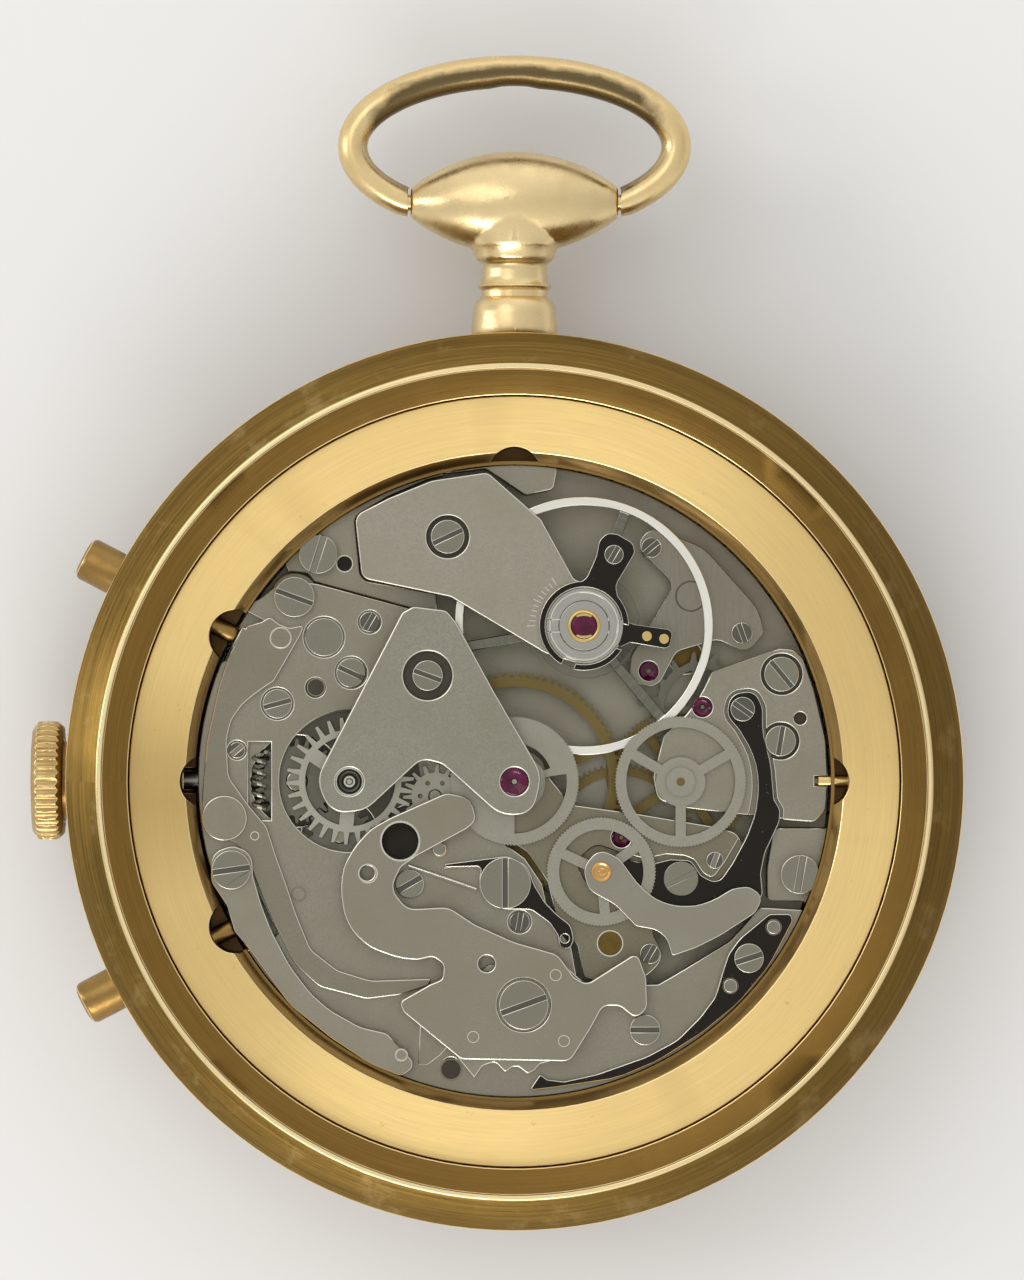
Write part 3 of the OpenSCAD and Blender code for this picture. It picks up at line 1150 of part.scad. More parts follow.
// Chronograph

// A heart cam whose point of least radius faces the phase angle
function heart(r_min, r_max, phase) =
    [for (i = [0 : 35]) polar(r_min + (r_max - r_min) * abs(180 - i * 10) / 180, phase + 180 + i * 10)];

chronograph_r = chronograph_wheel_d / 2;

module chronograph_runner() color(bright) {
    at(CENTER, z_wheel) linear_extrude(chrono_t) difference() {
        polygon(fine_gear(driving_teeth, chronograph_r, chronograph_r - 0.07));
        intersection() {
            difference() { circle(2.55); circle(1.5); }
            polygon([[0, 0], polar(6, -90), polar(9, -45), polar(6, 8)]);
        }
        intersection() {
            difference() { circle(1.85); circle(0.85); }
            polygon([[0, 0], polar(6, 20), polar(6, 75)]);
        }
    }
    rod(CENTER, z_deck + 0.03, z_heart + 0.05, 0.6);
    at(CENTER, z_heart) linear_extrude(heart_t) polygon(heart(0.65, heart_r, 200));
    rod(CENTER, chrono_hand_z - 0.1, z_back - 0.05, runner_r);
    at(CENTER, z_deck + 0.04) rotate(140) linear_extrude(0.1) polygon([[0, -0.15], [finger_r, -0.06], [finger_r, 0.06], [0, 0.15]]);
}

finger_r = norm(SLIDING) - sliding_r + 0.02;
minute_r = minute_wheel_d / 2;
minute_root = 2.5;
z_minute = z_lever_plate + 0.08;
minute_heart_r = 1.1;
minute_phase = angle_to(MINUTE, SLIDING);

module minute_runner() color(bright) {
    at(MINUTE, z_minute) linear_extrude(0.2) difference() {
        polygon(gear(minute_teeth, minute_r, minute_root, minute_phase, 0.22, 0.52));
        difference() {
            circle(2.2);
            circle(0.9);
            for (a = [25, 145, 265]) rotate(a) translate([0, -0.35]) square([3, 0.7]);
        }
    }
    rod(MINUTE, z_minute, z_heart + 0.05, 0.4);
    at(MINUTE, z_heart) linear_extrude(heart_t) polygon(heart(0.5, minute_heart_r, 250));
    rod(MINUTE, small_hand_z - 0.1, z_back - 0.05, runner_r);
}

module sliding_gear() color(steel) difference() {
    at(SLIDING, z_lever_plate + 0.06) linear_extrude(z_deck - z_lever_plate + 0.08)
        polygon(gear(sliding_teeth, sliding_r, 1.15, mate(minute_phase, minute_teeth, sliding_teeth, minute_phase), 0.2, 0.46));
    rod(SLIDING, z_train, through, 0.3 + run);
    for (a = [0 : 60 : 300]) at(SLIDING + polar(0.72, a), z_train) cylinder(h = through, r = 0.12, $fn = 16);
}

COUPLING_COCK = [[3.3, -4.2, 0.9], [4.1, -3.25, 0.9], [5.1, -3.75, 0.8], [6.1, -5.1, 2], [6.9, -5.75, 2],
    [7.8, -6.05, 2],
    [8.8, -6.05, 2], [9.7, -5.75, 2], [10.6, -5.2, 1], [11.4, -5.1, 0.6], [12.1, -5.6, 0.6],
    [11.7, -6.4, 0.6], [10, -7.5, 4],
    [8.8, -8.1, 2], [7.65, -8.5, 0.15], [7.4, -7.6, 1], [6.8, -7.2, 0.8], [5.9, -7.05, 0.5], [4.9, -6, 2],
    [3.6, -5.3, 0.9]];
COUPLING_PILLAR = [11.1, -5.65];
cock_z = z_wheel + chrono_t + 0.12;
cock_t = 0.3;
bush_r = 0.48;

// The clutch lever and, standing on its pillar, the cock over the coupling wheel
module coupling_clutch() {
    color(black_steel) difference() {
        plate(CLUTCH_PLATE, clutch_z, clutch_t);
        rod(CLUTCH, z_train, through, clutch_stud_r + run);
        rod(COUPLING, z_train, through, pivot_r + run);
        rod([8.1, -4.75], z_train, through, 0.39);
    }
    color(bright) {
        rod(COUPLING_PILLAR, clutch_z + clutch_t, cock_z, 0.45);
        difference() {
            plate(COUPLING_COCK, cock_z, cock_t);
            rod(COUPLING, z_train, through, bush_r);
        }
        screw([8.1, -4.75], clutch_z + clutch_t, 0.85, 0.3, 25, 0.2);
    }
    color([0.75, 0.45, 0.15]) difference() {
        disc(COUPLING, cock_z, cock_t + 0.05, bush_r);
        rod(COUPLING, z_train, through, pivot_r + run);
    }
}

coupling_r = coupling_d / 2;
coupling_phase = mate(driving_phase, driving_teeth, coupling_teeth, driving_phase);

module coupling_wheel() color(bright) {
    at(COUPLING, z_wheel) linear_extrude(chrono_t)
        spoked(fine_gear(coupling_teeth, coupling_r, coupling_r - 0.07, coupling_phase), 2.05, 0.75, 3, 0.5, 35);
    rod(COUPLING, clutch_z + 0.05, cock_z + cock_t, pivot_r);
    rod(COUPLING, z_wheel - 0.1, z_wheel + chrono_t + 0.05, 0.3);
}

HAMMER_PLATE = [[-1.85, -1.9, 0.8], [-2.1, -0.8, 0.8], [-3.3, -0.55, 0.8], [-6, -1.75, 2], [-7, -2.3, 2],
    [-7.8, -3.2, 2],
    [-8.35, -4.2, 2], [-8.45, -5.3, 2], [-8.3, -6.4, 2], [-7.9, -7.3, 2], [-7, -8.1, 2], [-5.6, -8.6, 2],
    [-4.7, -8.68, 0.8],
    [-3.95, -8.5, 0.5], [-3.42, -8.9, 0.4], [-3.5, -9.6, 0.3], [-4.1, -9.85, 0.3], [-5.6, -10.7, 0.4],
    [-5.4, -11.2, 0.5],
    [-2.6, -13.5, 0.5], [2.7, -13.6, 0.6], [3.7, -12, 0.5], [4.3, -10.9, 0.5], [5.1, -10.9, 0.5], [5.9, -11.55, 0.5],
    [6.45, -11, 0.5], [6.4, -9.5, 0.8], [5.95, -8.3, 0.3], [3.5, -9.85, 0.5], [2.9, -9.5, 0.5],
    [2.1, -8.4, 0.8], [0, -7.8, 2],
    [-1.9, -6.95, 1], [-3.2, -6.1, 1], [-5.2, -6.2, 0.8], [-6, -5.2, 0.8], [-5.5, -4.15, 0.6],
    [-4.7, -3.6, 0.6], [-2.3, -2.3, 0.7]];

module hammer() color(bright) difference() {
    plate(HAMMER_PLATE, z_hammer, hammer_t);
    rod(HAMMER, z_hammer - 1, through, 0.54 + run);
    rod(HAMMER, z_hammer + hammer_t - 0.15 - lever_gap / 2, through, 1.3);
    rod([-5.55, -2.9], z_hammer - 1, through, 0.92);
    rod([-7.15, -4.45], z_hammer - 1, through, 0.35);
    rod([-1.35, -8.85], z_hammer - 1, through, 0.4);
}

OPERATING_LEVER = [[-10.2, 7.6, 0.12], [-10.95, 7.45, 0.5], [-11.45, 7.65, 0.4], [-11.9, 8, 0.25], [-12.3, 7.75, 0.3],
    [-13, 7.55, 0.2], [-13.85, 6.2, 0.3], [-14.35, 4.7, 2], [-14.95, 2, 2], [-15.2, -0.8, 1],
    [-14.95, -2.6, 0.9], [-13.5, -3, 0.6], [-12.9, -4, 1], [-12.3, -5.5, 2],
    [-11.55, -7.2, 2], [-10.7, -8.9, 2], [-9.5, -10, 1], [-7.2, -10.6, 1], [-5.6, -10.4, 0.3], [-4.2, -9.95, 0.2],
    [-4, -9.6, 0.2], [-7, -9.7, 1.5], [-8.6, -9.2, 1], [-9.9, -8.2, 1], [-10.6, -6.5, 2], [-11.1, -5, 2],
    [-11.6, -3.6, 2], [-12.05, -2.2, 0.6], [-12.9, -1.2, 0.8], [-13.9, 0.2, 1], [-14, 2, 2],
    [-13.75, 3, 1], [-13.2, 3.75, 1], [-12.65, 4.2, 0.2], [-12.1, 4.6, 0.2], [-11.7, 4.85, 0.3], [-10.4, 7.1, 0.5]];
tab_t = 0.3;

// An upright tab that a pusher's tip meets
module tab(angle, z1, w = 1.1) rotate(angle)
    translate([push_in - 0.04 - tab_t, -w / 2, z_push - 0.4]) cube([tab_t, w, z1 - z_push + 0.4]);

module operating_lever() color(bright) difference() {
    union() {
        plate(OPERATING_LEVER, z_a, lever_t);
        tab(180 - pusher_angle, z_a + lever_t);
        disc([-11.37, 6.96], z_a, lever_t + 0.05, 0.52);
    }
    rod(OPERATING, z_deck, through, 0.5 + run);
}

FLY_BACK_LEVER = [[-14.75, -3.5, 0.8], [-14.75, -4.9, 0.8], [-14, -6, 0.4], [-13.6, -7.3, 0.3], [-12.95, -8.1, 0.3],
    [-10.9, -10.9, 3], [-8.9, -12.5, 3], [-7, -13.75, 2], [-5.5, -14.35, 0.4], [-4.75, -13.8, 0.4],
    [-6.2, -12.25, 0.5],
    [-7.5, -11.95, 2], [-9, -11.1, 2], [-9.9, -10.3, 2], [-10.9, -9, 3], [-11.8, -7.3, 3], [-12.3, -6, 3],
    [-12.7, -4.6, 1], [-12.75, -3.5, 0.8], [-13.7, -3.1, 0.8]];

module fly_back_lever() color(bright) difference() {
    union() {
        plate(FLY_BACK_LEVER, z_b, lever_t);
        tab(180 + pusher_angle, z_b + lever_t, 1);
        disc([-5.5, -13.3], z_b, lever_t + 0.05, 0.3);
    }
    rod(FLY_BACK, z_deck, through, 0.43 + run);
}

// Outline of the cam about its own centre; the jumper's beak lies between the waves of its lower edge
OPERATING_CAM = [[3.1, 0.9, 0.6], [2, 1.9, 0.6], [0.4, 2.3, 0.8], [-1.8, 1.9, 0.6], [-3, 0.7, 0.4], [-3.2, -0.6, 0.3],
    [-3.3, -2.5, 0.5], [-2.4, -3.6, 0.06], [-2, -3, 0.4], [-1.4, -2.8, 0.3], [-0.9, -3.32, 0.12], [-0.55, -3.05, 0.2],
    [-0.25, -3.05, 0.2], [0.2, -3.4, 0.15], [0.55, -3.2, 0.2], [0.8, -2.9, 0.3], [1.9, -2.65, 0.8],
    [2.8, -1.65, 0.8]];

module operating_cam() color(steel) difference() {
    at(HAMMER, z_a) linear_extrude(lever_t) difference() {
        polygon(outline(OPERATING_CAM));
        circle(0.54 + run);
    }
}

BLOCKING_LEVER = [[-3.4, -4.02, 0.05], [-1, -3.72, 1], [-0.3, -3.62, 1], [0.65, -4.1, 0.9], [0.95, -5, 1],
    [1.5, -5.9, 1],
    [2.1, -6.5, 1], [2.75, -7, 0.6], [2.9, -7.7, 0.5], [2.7, -8.2, 0.3], [2.2, -8.1, 0.3], [2.1, -7.5, 0.4],
    [1.7, -6.9, 0.8],
    [0.8, -6.25, 0.6], [-0.5, -6.25, 1], [-1.5, -5.8, 1], [-1.75, -4.8, 1], [-1.6, -4.15, 0.2], [-3.35, -4.2, 0.05]];

module blocking_lever() color(black_steel) difference() {
    plate(BLOCKING_LEVER, z_a, lever_t);
    rod(BLOCKING, z_deck, through, 0.56 + run);
    rod([2.45, -7.65], z_deck, through, 0.2);
}

case_middle();
pendant();
bow();
front_bezel();
crystal();
movement_ring();
locating_pin();
dial();
hour_markers();
crown_tube();
crown();
winding_stem();
winding_pinion();
start_pusher();
reset_pusher();
mainplate();
barrel_bridge();
lever_plate();
center_bridge();
train_bridge();
pallet_cock();
balance_cock();
chronograph_bridge();
bridge_screws();
jewels();
shock_setting();
stud_carrier();
regulator();
cam_jumper();
lever_springs();
barrel();
ratchet_wheel();
crown_wheel();
transmission_wheel();
center_wheel();
third_wheel();
fourth_wheel();
driving_wheel();
escape_wheel();
pallet_fork();
balance_wheel();
balance_spring();
cannon_pinion();
minute_wheel();
hour_wheel();
hour_hand();
minute_hand();
chronograph_hand();
small_seconds_hand();
minute_counter_hand();
chronograph_runner();
minute_runner();
sliding_gear();
coupling_clutch();
coupling_wheel();
hammer();
operating_lever();
fly_back_lever();
operating_cam();
blocking_lever();
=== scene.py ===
import json
import math

import bmesh
import bpy
from mathutils import Matrix, Vector
from mathutils.bvhtree import BVHTree


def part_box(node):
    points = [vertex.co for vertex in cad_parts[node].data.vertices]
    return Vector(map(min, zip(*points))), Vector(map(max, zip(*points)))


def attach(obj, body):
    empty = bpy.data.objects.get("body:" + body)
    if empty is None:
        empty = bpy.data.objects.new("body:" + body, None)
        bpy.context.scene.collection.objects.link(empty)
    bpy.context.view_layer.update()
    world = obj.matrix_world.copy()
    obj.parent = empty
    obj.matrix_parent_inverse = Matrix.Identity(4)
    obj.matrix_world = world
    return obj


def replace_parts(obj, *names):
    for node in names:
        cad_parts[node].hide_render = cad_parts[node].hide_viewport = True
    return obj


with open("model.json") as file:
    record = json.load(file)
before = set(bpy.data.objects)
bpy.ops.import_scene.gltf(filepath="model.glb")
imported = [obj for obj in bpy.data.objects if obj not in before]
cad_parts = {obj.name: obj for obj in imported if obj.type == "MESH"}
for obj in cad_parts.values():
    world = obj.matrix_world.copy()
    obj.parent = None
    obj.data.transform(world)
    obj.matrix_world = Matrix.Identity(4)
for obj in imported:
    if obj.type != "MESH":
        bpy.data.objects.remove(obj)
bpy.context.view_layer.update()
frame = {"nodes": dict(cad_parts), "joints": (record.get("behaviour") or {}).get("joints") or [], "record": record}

NODES = frame["nodes"]
BODY = {node: body for body, nodes in frame["record"]["behaviour"]["bodies"].items() for node in nodes}
JOINTS = {joint["name"]: joint for joint in frame["joints"]}
MM = 0.001


# Places in the movement, in millimetres in the frame of the CAD

def axle(joint):
    """Where the upright axis of a joint stands, as (x, y)."""
    x, y, _ = JOINTS[joint]["pos_m"]
    return round(x / MM, 4), round(y / MM, 4)


def underside(node):
    """The height of a node's lowest point."""
    return round(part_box(node)[0].z / MM, 4)


def top(node):
    """The height of a node's highest point."""
    return round(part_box(node)[1].z / MM, 4)


BALANCE = axle("balance_swing")
CHRONOGRAPH = axle("chronograph_spin")
COUPLING = axle("coupling_spin")
ESCAPE = axle("escape_spin")
FOURTH = axle("fourth_spin")
MINUTE = axle("minute_spin")
PALLET = axle("pallet_swing")
THIRD = axle("third_spin")

BRASS_HOLE = (4.65, -7.9)
CLUTCH_SCREW = (8.1, -4.75)
HAMMER_HOLE = (-5.55, -2.9)
INDEX_PINS = ((6.42, 7.05), (7.25, 6.92))
PALLET_SCREWS = ((6.68, 11.37), (11.1, 7.2))

# The outer radius of the minute runner's bush
BUSH_R = 0.68

# The winding stem's axis, and the lever plate's top, which the chronograph bridge stands on
Z_STEM = (underside("winding_stem") + top("winding_stem")) / 2
Z_DECK = underside("chronograph_bridge")

# The underside of the balance wheel, the top of the clutch's arm and the underside of the clutch's cock
Z_WHEEL = 6.5
Z_CLUTCH = 7.5
Z_COCK = 8.07

# The middle line of the bow's oval: half its width, half its height and where its middle is
BOW_HALF_W = 7.915
BOW_HALF_H = 3.66
BOW_MIDDLE_Y = 31.0


# Materials

class Nodes:
    """Short forms for building a node material."""

    def __init__(self, name):
        self.mat = bpy.data.materials.new(name)
        self.mat.use_nodes = True
        self.tree = self.mat.node_tree
        self.tree.nodes.clear()
        out = self.tree.nodes.new("ShaderNodeOutputMaterial")
        self.bsdf = self.tree.nodes.new("ShaderNodeBsdfPrincipled")
        self.link(self.bsdf.outputs[0], out.inputs[0])
        self.coords = self.tree.nodes.new("ShaderNodeTexCoord").outputs["Object"]

    def link(self, source, socket):
        self.tree.links.new(source, socket)

    def new(self, kind, **settings):
        """A new node of a kind, with its settings."""
        node = self.tree.nodes.new("ShaderNode" + kind)
        for setting, value in settings.items():
            setattr(node, setting, value)
        return node

    def put(self, socket, value):
        """Feeds a socket from another one, or sets it to a constant. A colour is given as three numbers."""
        if isinstance(value, bpy.types.NodeSocket):
            self.link(value, socket)
        elif socket.type == "RGBA":
            socket.default_value = (*value, 1)
        else:
            socket.default_value = value

    def mapped(self, scale=(1, 1, 1), location=(0, 0, 0), turn=0.0):
        """Object coordinates in millimetres, measured from location, turned about Z and scaled."""
        moved = self.new("Mapping")
        moved.inputs["Location"].default_value = [-c for c in location]
        moved.inputs["Scale"].default_value = (1000, 1000, 1000)
        self.link(self.coords, moved.inputs["Vector"])
        shaped = self.new("Mapping")
        shaped.inputs["Rotation"].default_value = (0, 0, turn)
        shaped.inputs["Scale"].default_value = scale
        self.link(moved.outputs[0], shaped.inputs["Vector"])
        return shaped.outputs[0]

    def noise(self, place, scale, detail, rough=0.55):
        """Cloudy noise from 0 to 1, finer with scale and with more octaves as detail grows."""
        node = self.new("TexNoise")
        self.link(place, node.inputs["Vector"])
        node.inputs["Scale"].default_value = scale
        node.inputs["Detail"].default_value = detail
        node.inputs["Roughness"].default_value = rough
        return node.outputs["Fac"]

    def math(self, operation, a, b=0.0):
        """The result of an operation on a and, where it takes two values, b."""
        node = self.new("Math", operation=operation)
        self.put(node.inputs[0], a)
        self.put(node.inputs[1], b)
        return node.outputs[0]

    def plus(self, a, b):
        return self.math("ADD", a, b)

    def times(self, a, b):
        return self.math("MULTIPLY", a, b)

    def length(self, x, y):
        """The length of the arrow (x, y)."""
        return self.math("SQRT", self.plus(self.times(x, x), self.times(y, y)))

    def span(self, value, lo, hi, to_lo=0.0, to_hi=1.0):
        """Goes from to_lo to to_hi as value goes from lo to hi, and stays there beyond."""
        node = self.new("MapRange")
        self.put(node.inputs["Value"], value)
        node.inputs["From Min"].default_value = lo
        node.inputs["From Max"].default_value = hi
        node.inputs["To Min"].default_value = to_lo
        node.inputs["To Max"].default_value = to_hi
        return node.outputs[0]

    def band(self, value, lo, hi, soft):
        """1 from lo to hi and 0 outside, softened over soft at both ends."""
        return self.times(self.span(value, lo, lo + soft), self.span(value, hi - soft, hi, 1, 0))

    def mix(self, fac, a, b):
        """Colour a where fac is 0 and colour b where it is 1."""
        node = self.new("Mix", data_type="RGBA")
        self.put(node.inputs[0], fac)
        self.put(node.inputs[6], a)
        self.put(node.inputs[7], b)
        return node.outputs[2]

    def split(self, place):
        node = self.new("SeparateXYZ")
        self.link(place, node.inputs[0])
        return node.outputs

    def join(self, x, y, z):
        node = self.new("CombineXYZ")
        self.put(node.inputs[0], x)
        self.put(node.inputs[1], y)
        self.put(node.inputs[2], z)
        return node.outputs[0]

    def around(self, center=(0, 0)):
        """(radius in mm, angle in radians, height in mm) about an upright axis."""
        place = self.split(self.mapped(location=(*center, 0)))
        return self.length(place[0], place[1]), self.math("ARCTAN2", place[1], place[0]), place[2]

    def bump(self, height, strength, distance=0.00002, before=None):
        """The normal bent by height. before is a normal that another bump has bent already."""
        node = self.new("Bump")
        node.inputs["Strength"].default_value = strength
        node.inputs["Distance"].default_value = distance
        self.put(node.inputs["Height"], height)
        if before:
            self.link(before, node.inputs["Normal"])
        return node.outputs[0]

    def brush_round(self, amount):
        """Spreads a highlight towards the Z axis and away from it, as brushing in circles does."""
        tangent = self.new("Tangent", direction_type="RADIAL", axis="Z")
        self.link(tangent.outputs[0], self.bsdf.inputs["Tangent"])
        self.bsdf.inputs["Anisotropic"].default_value = amount
        self.bsdf.inputs["Anisotropic Rotation"].default_value = 0.25

    def finish(self, color, rough, metal=1.0, normal=None, **constants):
        """Feeds the shader and gives the material. constants are inputs by name, with _ for each space."""
        self.put(self.bsdf.inputs["Base Color"], color)
        self.put(self.bsdf.inputs["Roughness"], rough)
        self.bsdf.inputs["Metallic"].default_value = metal
        if normal:
            self.link(normal, self.bsdf.inputs["Normal"])
        for name, value in constants.items():
            self.bsdf.inputs[name.replace("_", " ")].default_value = value
        return self.mat


def shade(color, k):
    """color made k times as bright."""
    return tuple(min(1.0, c * k) for c in color)


def tint(color, gains):
    """color with red, green and blue each times its own gain."""
    return tuple(c * k for c, k in zip(color, gains))


def frosted(name, color, rough, grain=1.0, turn=0.0, stretch=1.0, shaded_well=None):
    """A plate with a fine grain: blasted when stretch is 1, brushed along turn when it is less. It has painted
    shade inside the well, given as an (x, y, radius)."""
    m = Nodes(name)
    fine = m.noise(m.mapped(scale=(1, stretch, 1), turn=-turn), 11, 4, 0.7)
    wide = m.noise(m.mapped(), 0.35, 3)
    tone = m.mix(m.span(fine, 0.3, 0.7), shade(color, 1 - 0.13 * grain), shade(color, 1 + 0.12 * grain))
    tone = m.mix(m.span(wide, 0.35, 0.7, 0, 0.55), tone, tint(color, (0.85, 0.83, 0.77)))
    # painted shade inside the well
    if shaded_well:
        x, y, radius = shaded_well
        from_axle = m.around((x, y))[0]
        tone = m.mix(m.span(from_axle, radius - 0.05, radius), shade(color, 0.3), tone)
    matt = m.plus(m.span(fine, 0.3, 0.7, rough - 0.07, rough + 0.07), m.span(wide, 0.3, 0.7, -0.03, 0.05))
    return m.finish(tone, matt, normal=m.bump(fine, 0.35 * grain))


def polished(name, color, rough, marks=1.0, dust=0.0):
    """Polished metal with hairline scratches, faint smears and, where asked, specks of dust."""
    m = Nodes(name)
    one_way = m.noise(m.mapped(scale=(0.6, 14, 1), turn=0.5), 3.2, 2)
    other_way = m.noise(m.mapped(scale=(14, 0.6, 1), turn=-0.35), 2.7, 2)
    lines = m.math("MAXIMUM", m.span(one_way, 0.66, 0.78), m.span(other_way, 0.66, 0.78))
    smear = m.noise(m.mapped(), 0.8, 3)
    tone = m.mix(m.times(lines, 0.35 * marks), color, shade(color, 1.35))
    tone = m.mix(m.span(smear, 0.35, 0.75, 0, 0.25), tone, shade(color, 0.72))
    if dust:
        specks = m.new("TexVoronoi", feature="F1")
        m.link(m.mapped(), specks.inputs["Vector"])
        specks.inputs["Scale"].default_value = 2.6
        near = m.span(specks.outputs["Distance"], 0.03, 0.07, 1, 0)
        tone = m.mix(m.times(near, dust), tone, (0.55, 0.5, 0.42))
    matt = m.plus(m.span(smear, 0.3, 0.7, rough * 0.75, rough * 1.5), m.times(lines, 0.12 * marks))
    return m.finish(tone, matt, normal=m.bump(lines, 0.12 * marks))


def turned_metal(name, color, rough, rings, center=(0, 0), depth=0.5):
    """Metal brushed in circles about an upright axis, with fine ring marks and faint blots."""
    m = Nodes(name)
    radius, angle, height = m.around(center)
    place = m.join(radius, m.times(angle, 0.35), m.times(height, 0.3))
    fine = m.noise(place, rings, 4, 0.65)
    broad = m.noise(place, rings * 0.16, 2)
    blot = m.noise(m.mapped(), 0.5, 4, 0.6)
    tone = m.mix(m.span(fine, 0.3, 0.7), shade(color, 0.82), shade(color, 1.12))
    tone = m.mix(m.span(broad, 0.35, 0.7, 0, 0.35), tone, shade(color, 0.8))
    matt = m.plus(m.span(fine, 0.3, 0.7, rough - 0.05, rough + 0.06), m.span(blot, 0.3, 0.7, -0.03, 0.05))
    return m.finish(tone, matt, normal=m.bump(fine, depth))


def ring_material():
    """The movement ring: bright circular brushing, with faint darker streaks and small stains, and painted shade
    near the crown."""
    m = Nodes("ring_gold")
    radius, angle, height = m.around()
    place = m.join(radius, m.times(angle, 0.5), m.times(height, 0.3))
    fine = m.noise(place, 9, 4, 0.7)
    bands = m.noise(place, 1.3, 2)
    streak = m.noise(m.join(m.times(radius, 0.02), m.times(angle, 2.2), 0.0), 1.6, 2)
    stain = m.noise(m.mapped(), 1.7, 5, 0.7)
    # painted shade: darker near the crown
    crown_shade_mask = m.span(m.math("ABSOLUTE", angle), 2.8, 3.08, 0, 0.5)
    gold = (0.95, 0.7, 0.29)
    tone = m.mix(m.span(fine, 0.3, 0.7), shade(gold, 0.9), shade(gold, 1.05))
    tone = m.mix(m.span(bands, 0.4, 0.7, 0, 0.25), tone, (0.84, 0.6, 0.26))
    tone = m.mix(m.span(streak, 0.58, 0.72, 0, 0.3), tone, (0.62, 0.42, 0.16))
    tone = m.mix(m.span(stain, 0.66, 0.73, 0, 0.45), tone, (0.42, 0.27, 0.1))
    tone = m.mix(crown_shade_mask, tone, (0.47, 0.31, 0.1))
    m.brush_round(0.9)
    return m.finish(tone, m.span(fine, 0.3, 0.7, 0.38, 0.48), normal=m.bump(fine, 0.25))


def case_material():
    """The case: a worn olive-brown band outside, a painted highlight in a line on the rim and a dark brown wall
    inside. Painted shade darkens it away from the crown."""
    m = Nodes("case_worn_gold")
    rim_in, rim_out = 20.0, 20.2
    olive = (0.215, 0.13, 0.031)
    pale = (0.5, 0.36, 0.15)
    dark = (0.19, 0.108, 0.026)
    radius, angle, height = m.around()
    place = m.join(radius, m.times(angle, 0.25), height)
    fine = m.noise(place, 12, 4, 0.75)
    bands = m.noise(place, 3.1, 3)
    blot = m.noise(m.mapped(), 0.45, 5, 0.65)
    painted_shade_x = m.split(m.mapped())[0]
    outer = m.mix(m.span(fine, 0.32, 0.68), shade(olive, 0.62), shade(olive, 1.5))
    outer = m.mix(m.span(bands, 0.45, 0.68, 0, 0.6), outer, shade(olive, 0.62))
    outer = m.mix(m.span(blot, 0.56, 0.7, 0, 0.4), outer, pale)
    inner = m.mix(m.span(fine, 0.3, 0.7), dark, shade(dark, 1.4))
    inner = m.mix(m.span(blot, 0.55, 0.72, 0, 0.2), inner, (0.3, 0.19, 0.06))
    tone = m.mix(m.span(radius, rim_in - 0.07, rim_in - 0.01), inner, outer)
    # painted shade: darker towards +x, away from the crown
    tone = m.mix(m.span(painted_shade_x, -12, 15, 0, 0.45), tone, shade(dark, 0.55))
    # painted highlight: a pale gold line along the rim
    line = m.times(m.span(radius, rim_in - 0.05, rim_in), m.span(radius, rim_out, rim_out + 0.08, 1, 0))
    tone = m.mix(line, tone, (0.9, 0.74, 0.42))
    matt = m.plus(m.span(fine, 0.3, 0.7, 0.25, 0.42), m.span(blot, 0.4, 0.7, -0.04, 0.08))
    return m.finish(tone, matt, normal=m.bump(fine, 0.45))


def old_gold(name, color, rough, wear):
    """Polished gold plate with smears, small dents and brown in its hollows."""
    m = Nodes(name)
    place = m.mapped()
    blot = m.noise(place, 0.7, 5, 0.6)
    fine = m.noise(place, 9, 4, 0.7)
    scratch = m.noise(m.mapped(scale=(1, 9, 3), turn=0.8), 3.5, 3)
    tone = m.mix(m.span(blot, 0.4, 0.68, 0, wear), color, tint(color, (0.62, 0.55, 0.42)))
    tone = m.mix(m.span(scratch, 0.62, 0.72, 0, 0.35), tone, shade(color, 1.2))
    matt = m.plus(m.span(blot, 0.35, 0.7, rough - 0.05, rough + 0.12), m.span(fine, 0.3, 0.7, -0.03, 0.04))
    dents = m.bump(blot, 0.25, distance=0.00012)
    return m.finish(tone, matt, normal=m.bump(fine, 0.1, before=dents))


def bow_material():
    """The bow: pale gold, and dark brown on the inner half of its oval's section, less so towards its top."""
    stain_half_w = 7.9
    m = Nodes("bow_gold")
    place = m.mapped()
    x, y, _ = m.split(place)
    across = m.math("DIVIDE", x, stain_half_w)
    up = m.math("DIVIDE", m.math("SUBTRACT", y, BOW_MIDDLE_Y), BOW_HALF_H)
    blot = m.noise(place, 0.8, 5, 0.6)
    fine = m.noise(place, 9, 4, 0.7)
    ragged = m.plus(m.length(across, up), m.span(blot, 0.3, 0.7, -0.03, 0.03))
    ragged = m.math("SUBTRACT", ragged, m.span(y, BOW_MIDDLE_Y + 0.5, BOW_MIDDLE_Y + 3.0, 0, 0.17))
    tone = m.mix(m.span(blot, 0.42, 0.7, 0, 0.3), (0.83, 0.63, 0.32), (0.62, 0.43, 0.18))
    # dark brown over the inner half of the section, less towards the top
    tone = m.mix(m.span(ragged, 0.86, 0.94, 0.9, 0), tone, (0.09, 0.062, 0.026))
    matt = m.plus(m.span(blot, 0.35, 0.7, 0.22, 0.36), m.span(fine, 0.3, 0.7, -0.03, 0.04))
    dents = m.bump(blot, 0.2, distance=0.0001)
    return m.finish(tone, matt, normal=m.bump(fine, 0.1, before=dents))


def ruby_material():
    """The jewels: a deep wine red that glows unevenly."""
    m = Nodes("ruby")
    glow = m.noise(m.mapped(), 2.2, 2)
    tone = m.mix(m.span(glow, 0.3, 0.7), (0.04, 0.001, 0.012), (0.12, 0.002, 0.042))
    return m.finish(tone, 0.05, metal=0.0, IOR=1.5, Specular_IOR_Level=0.35)


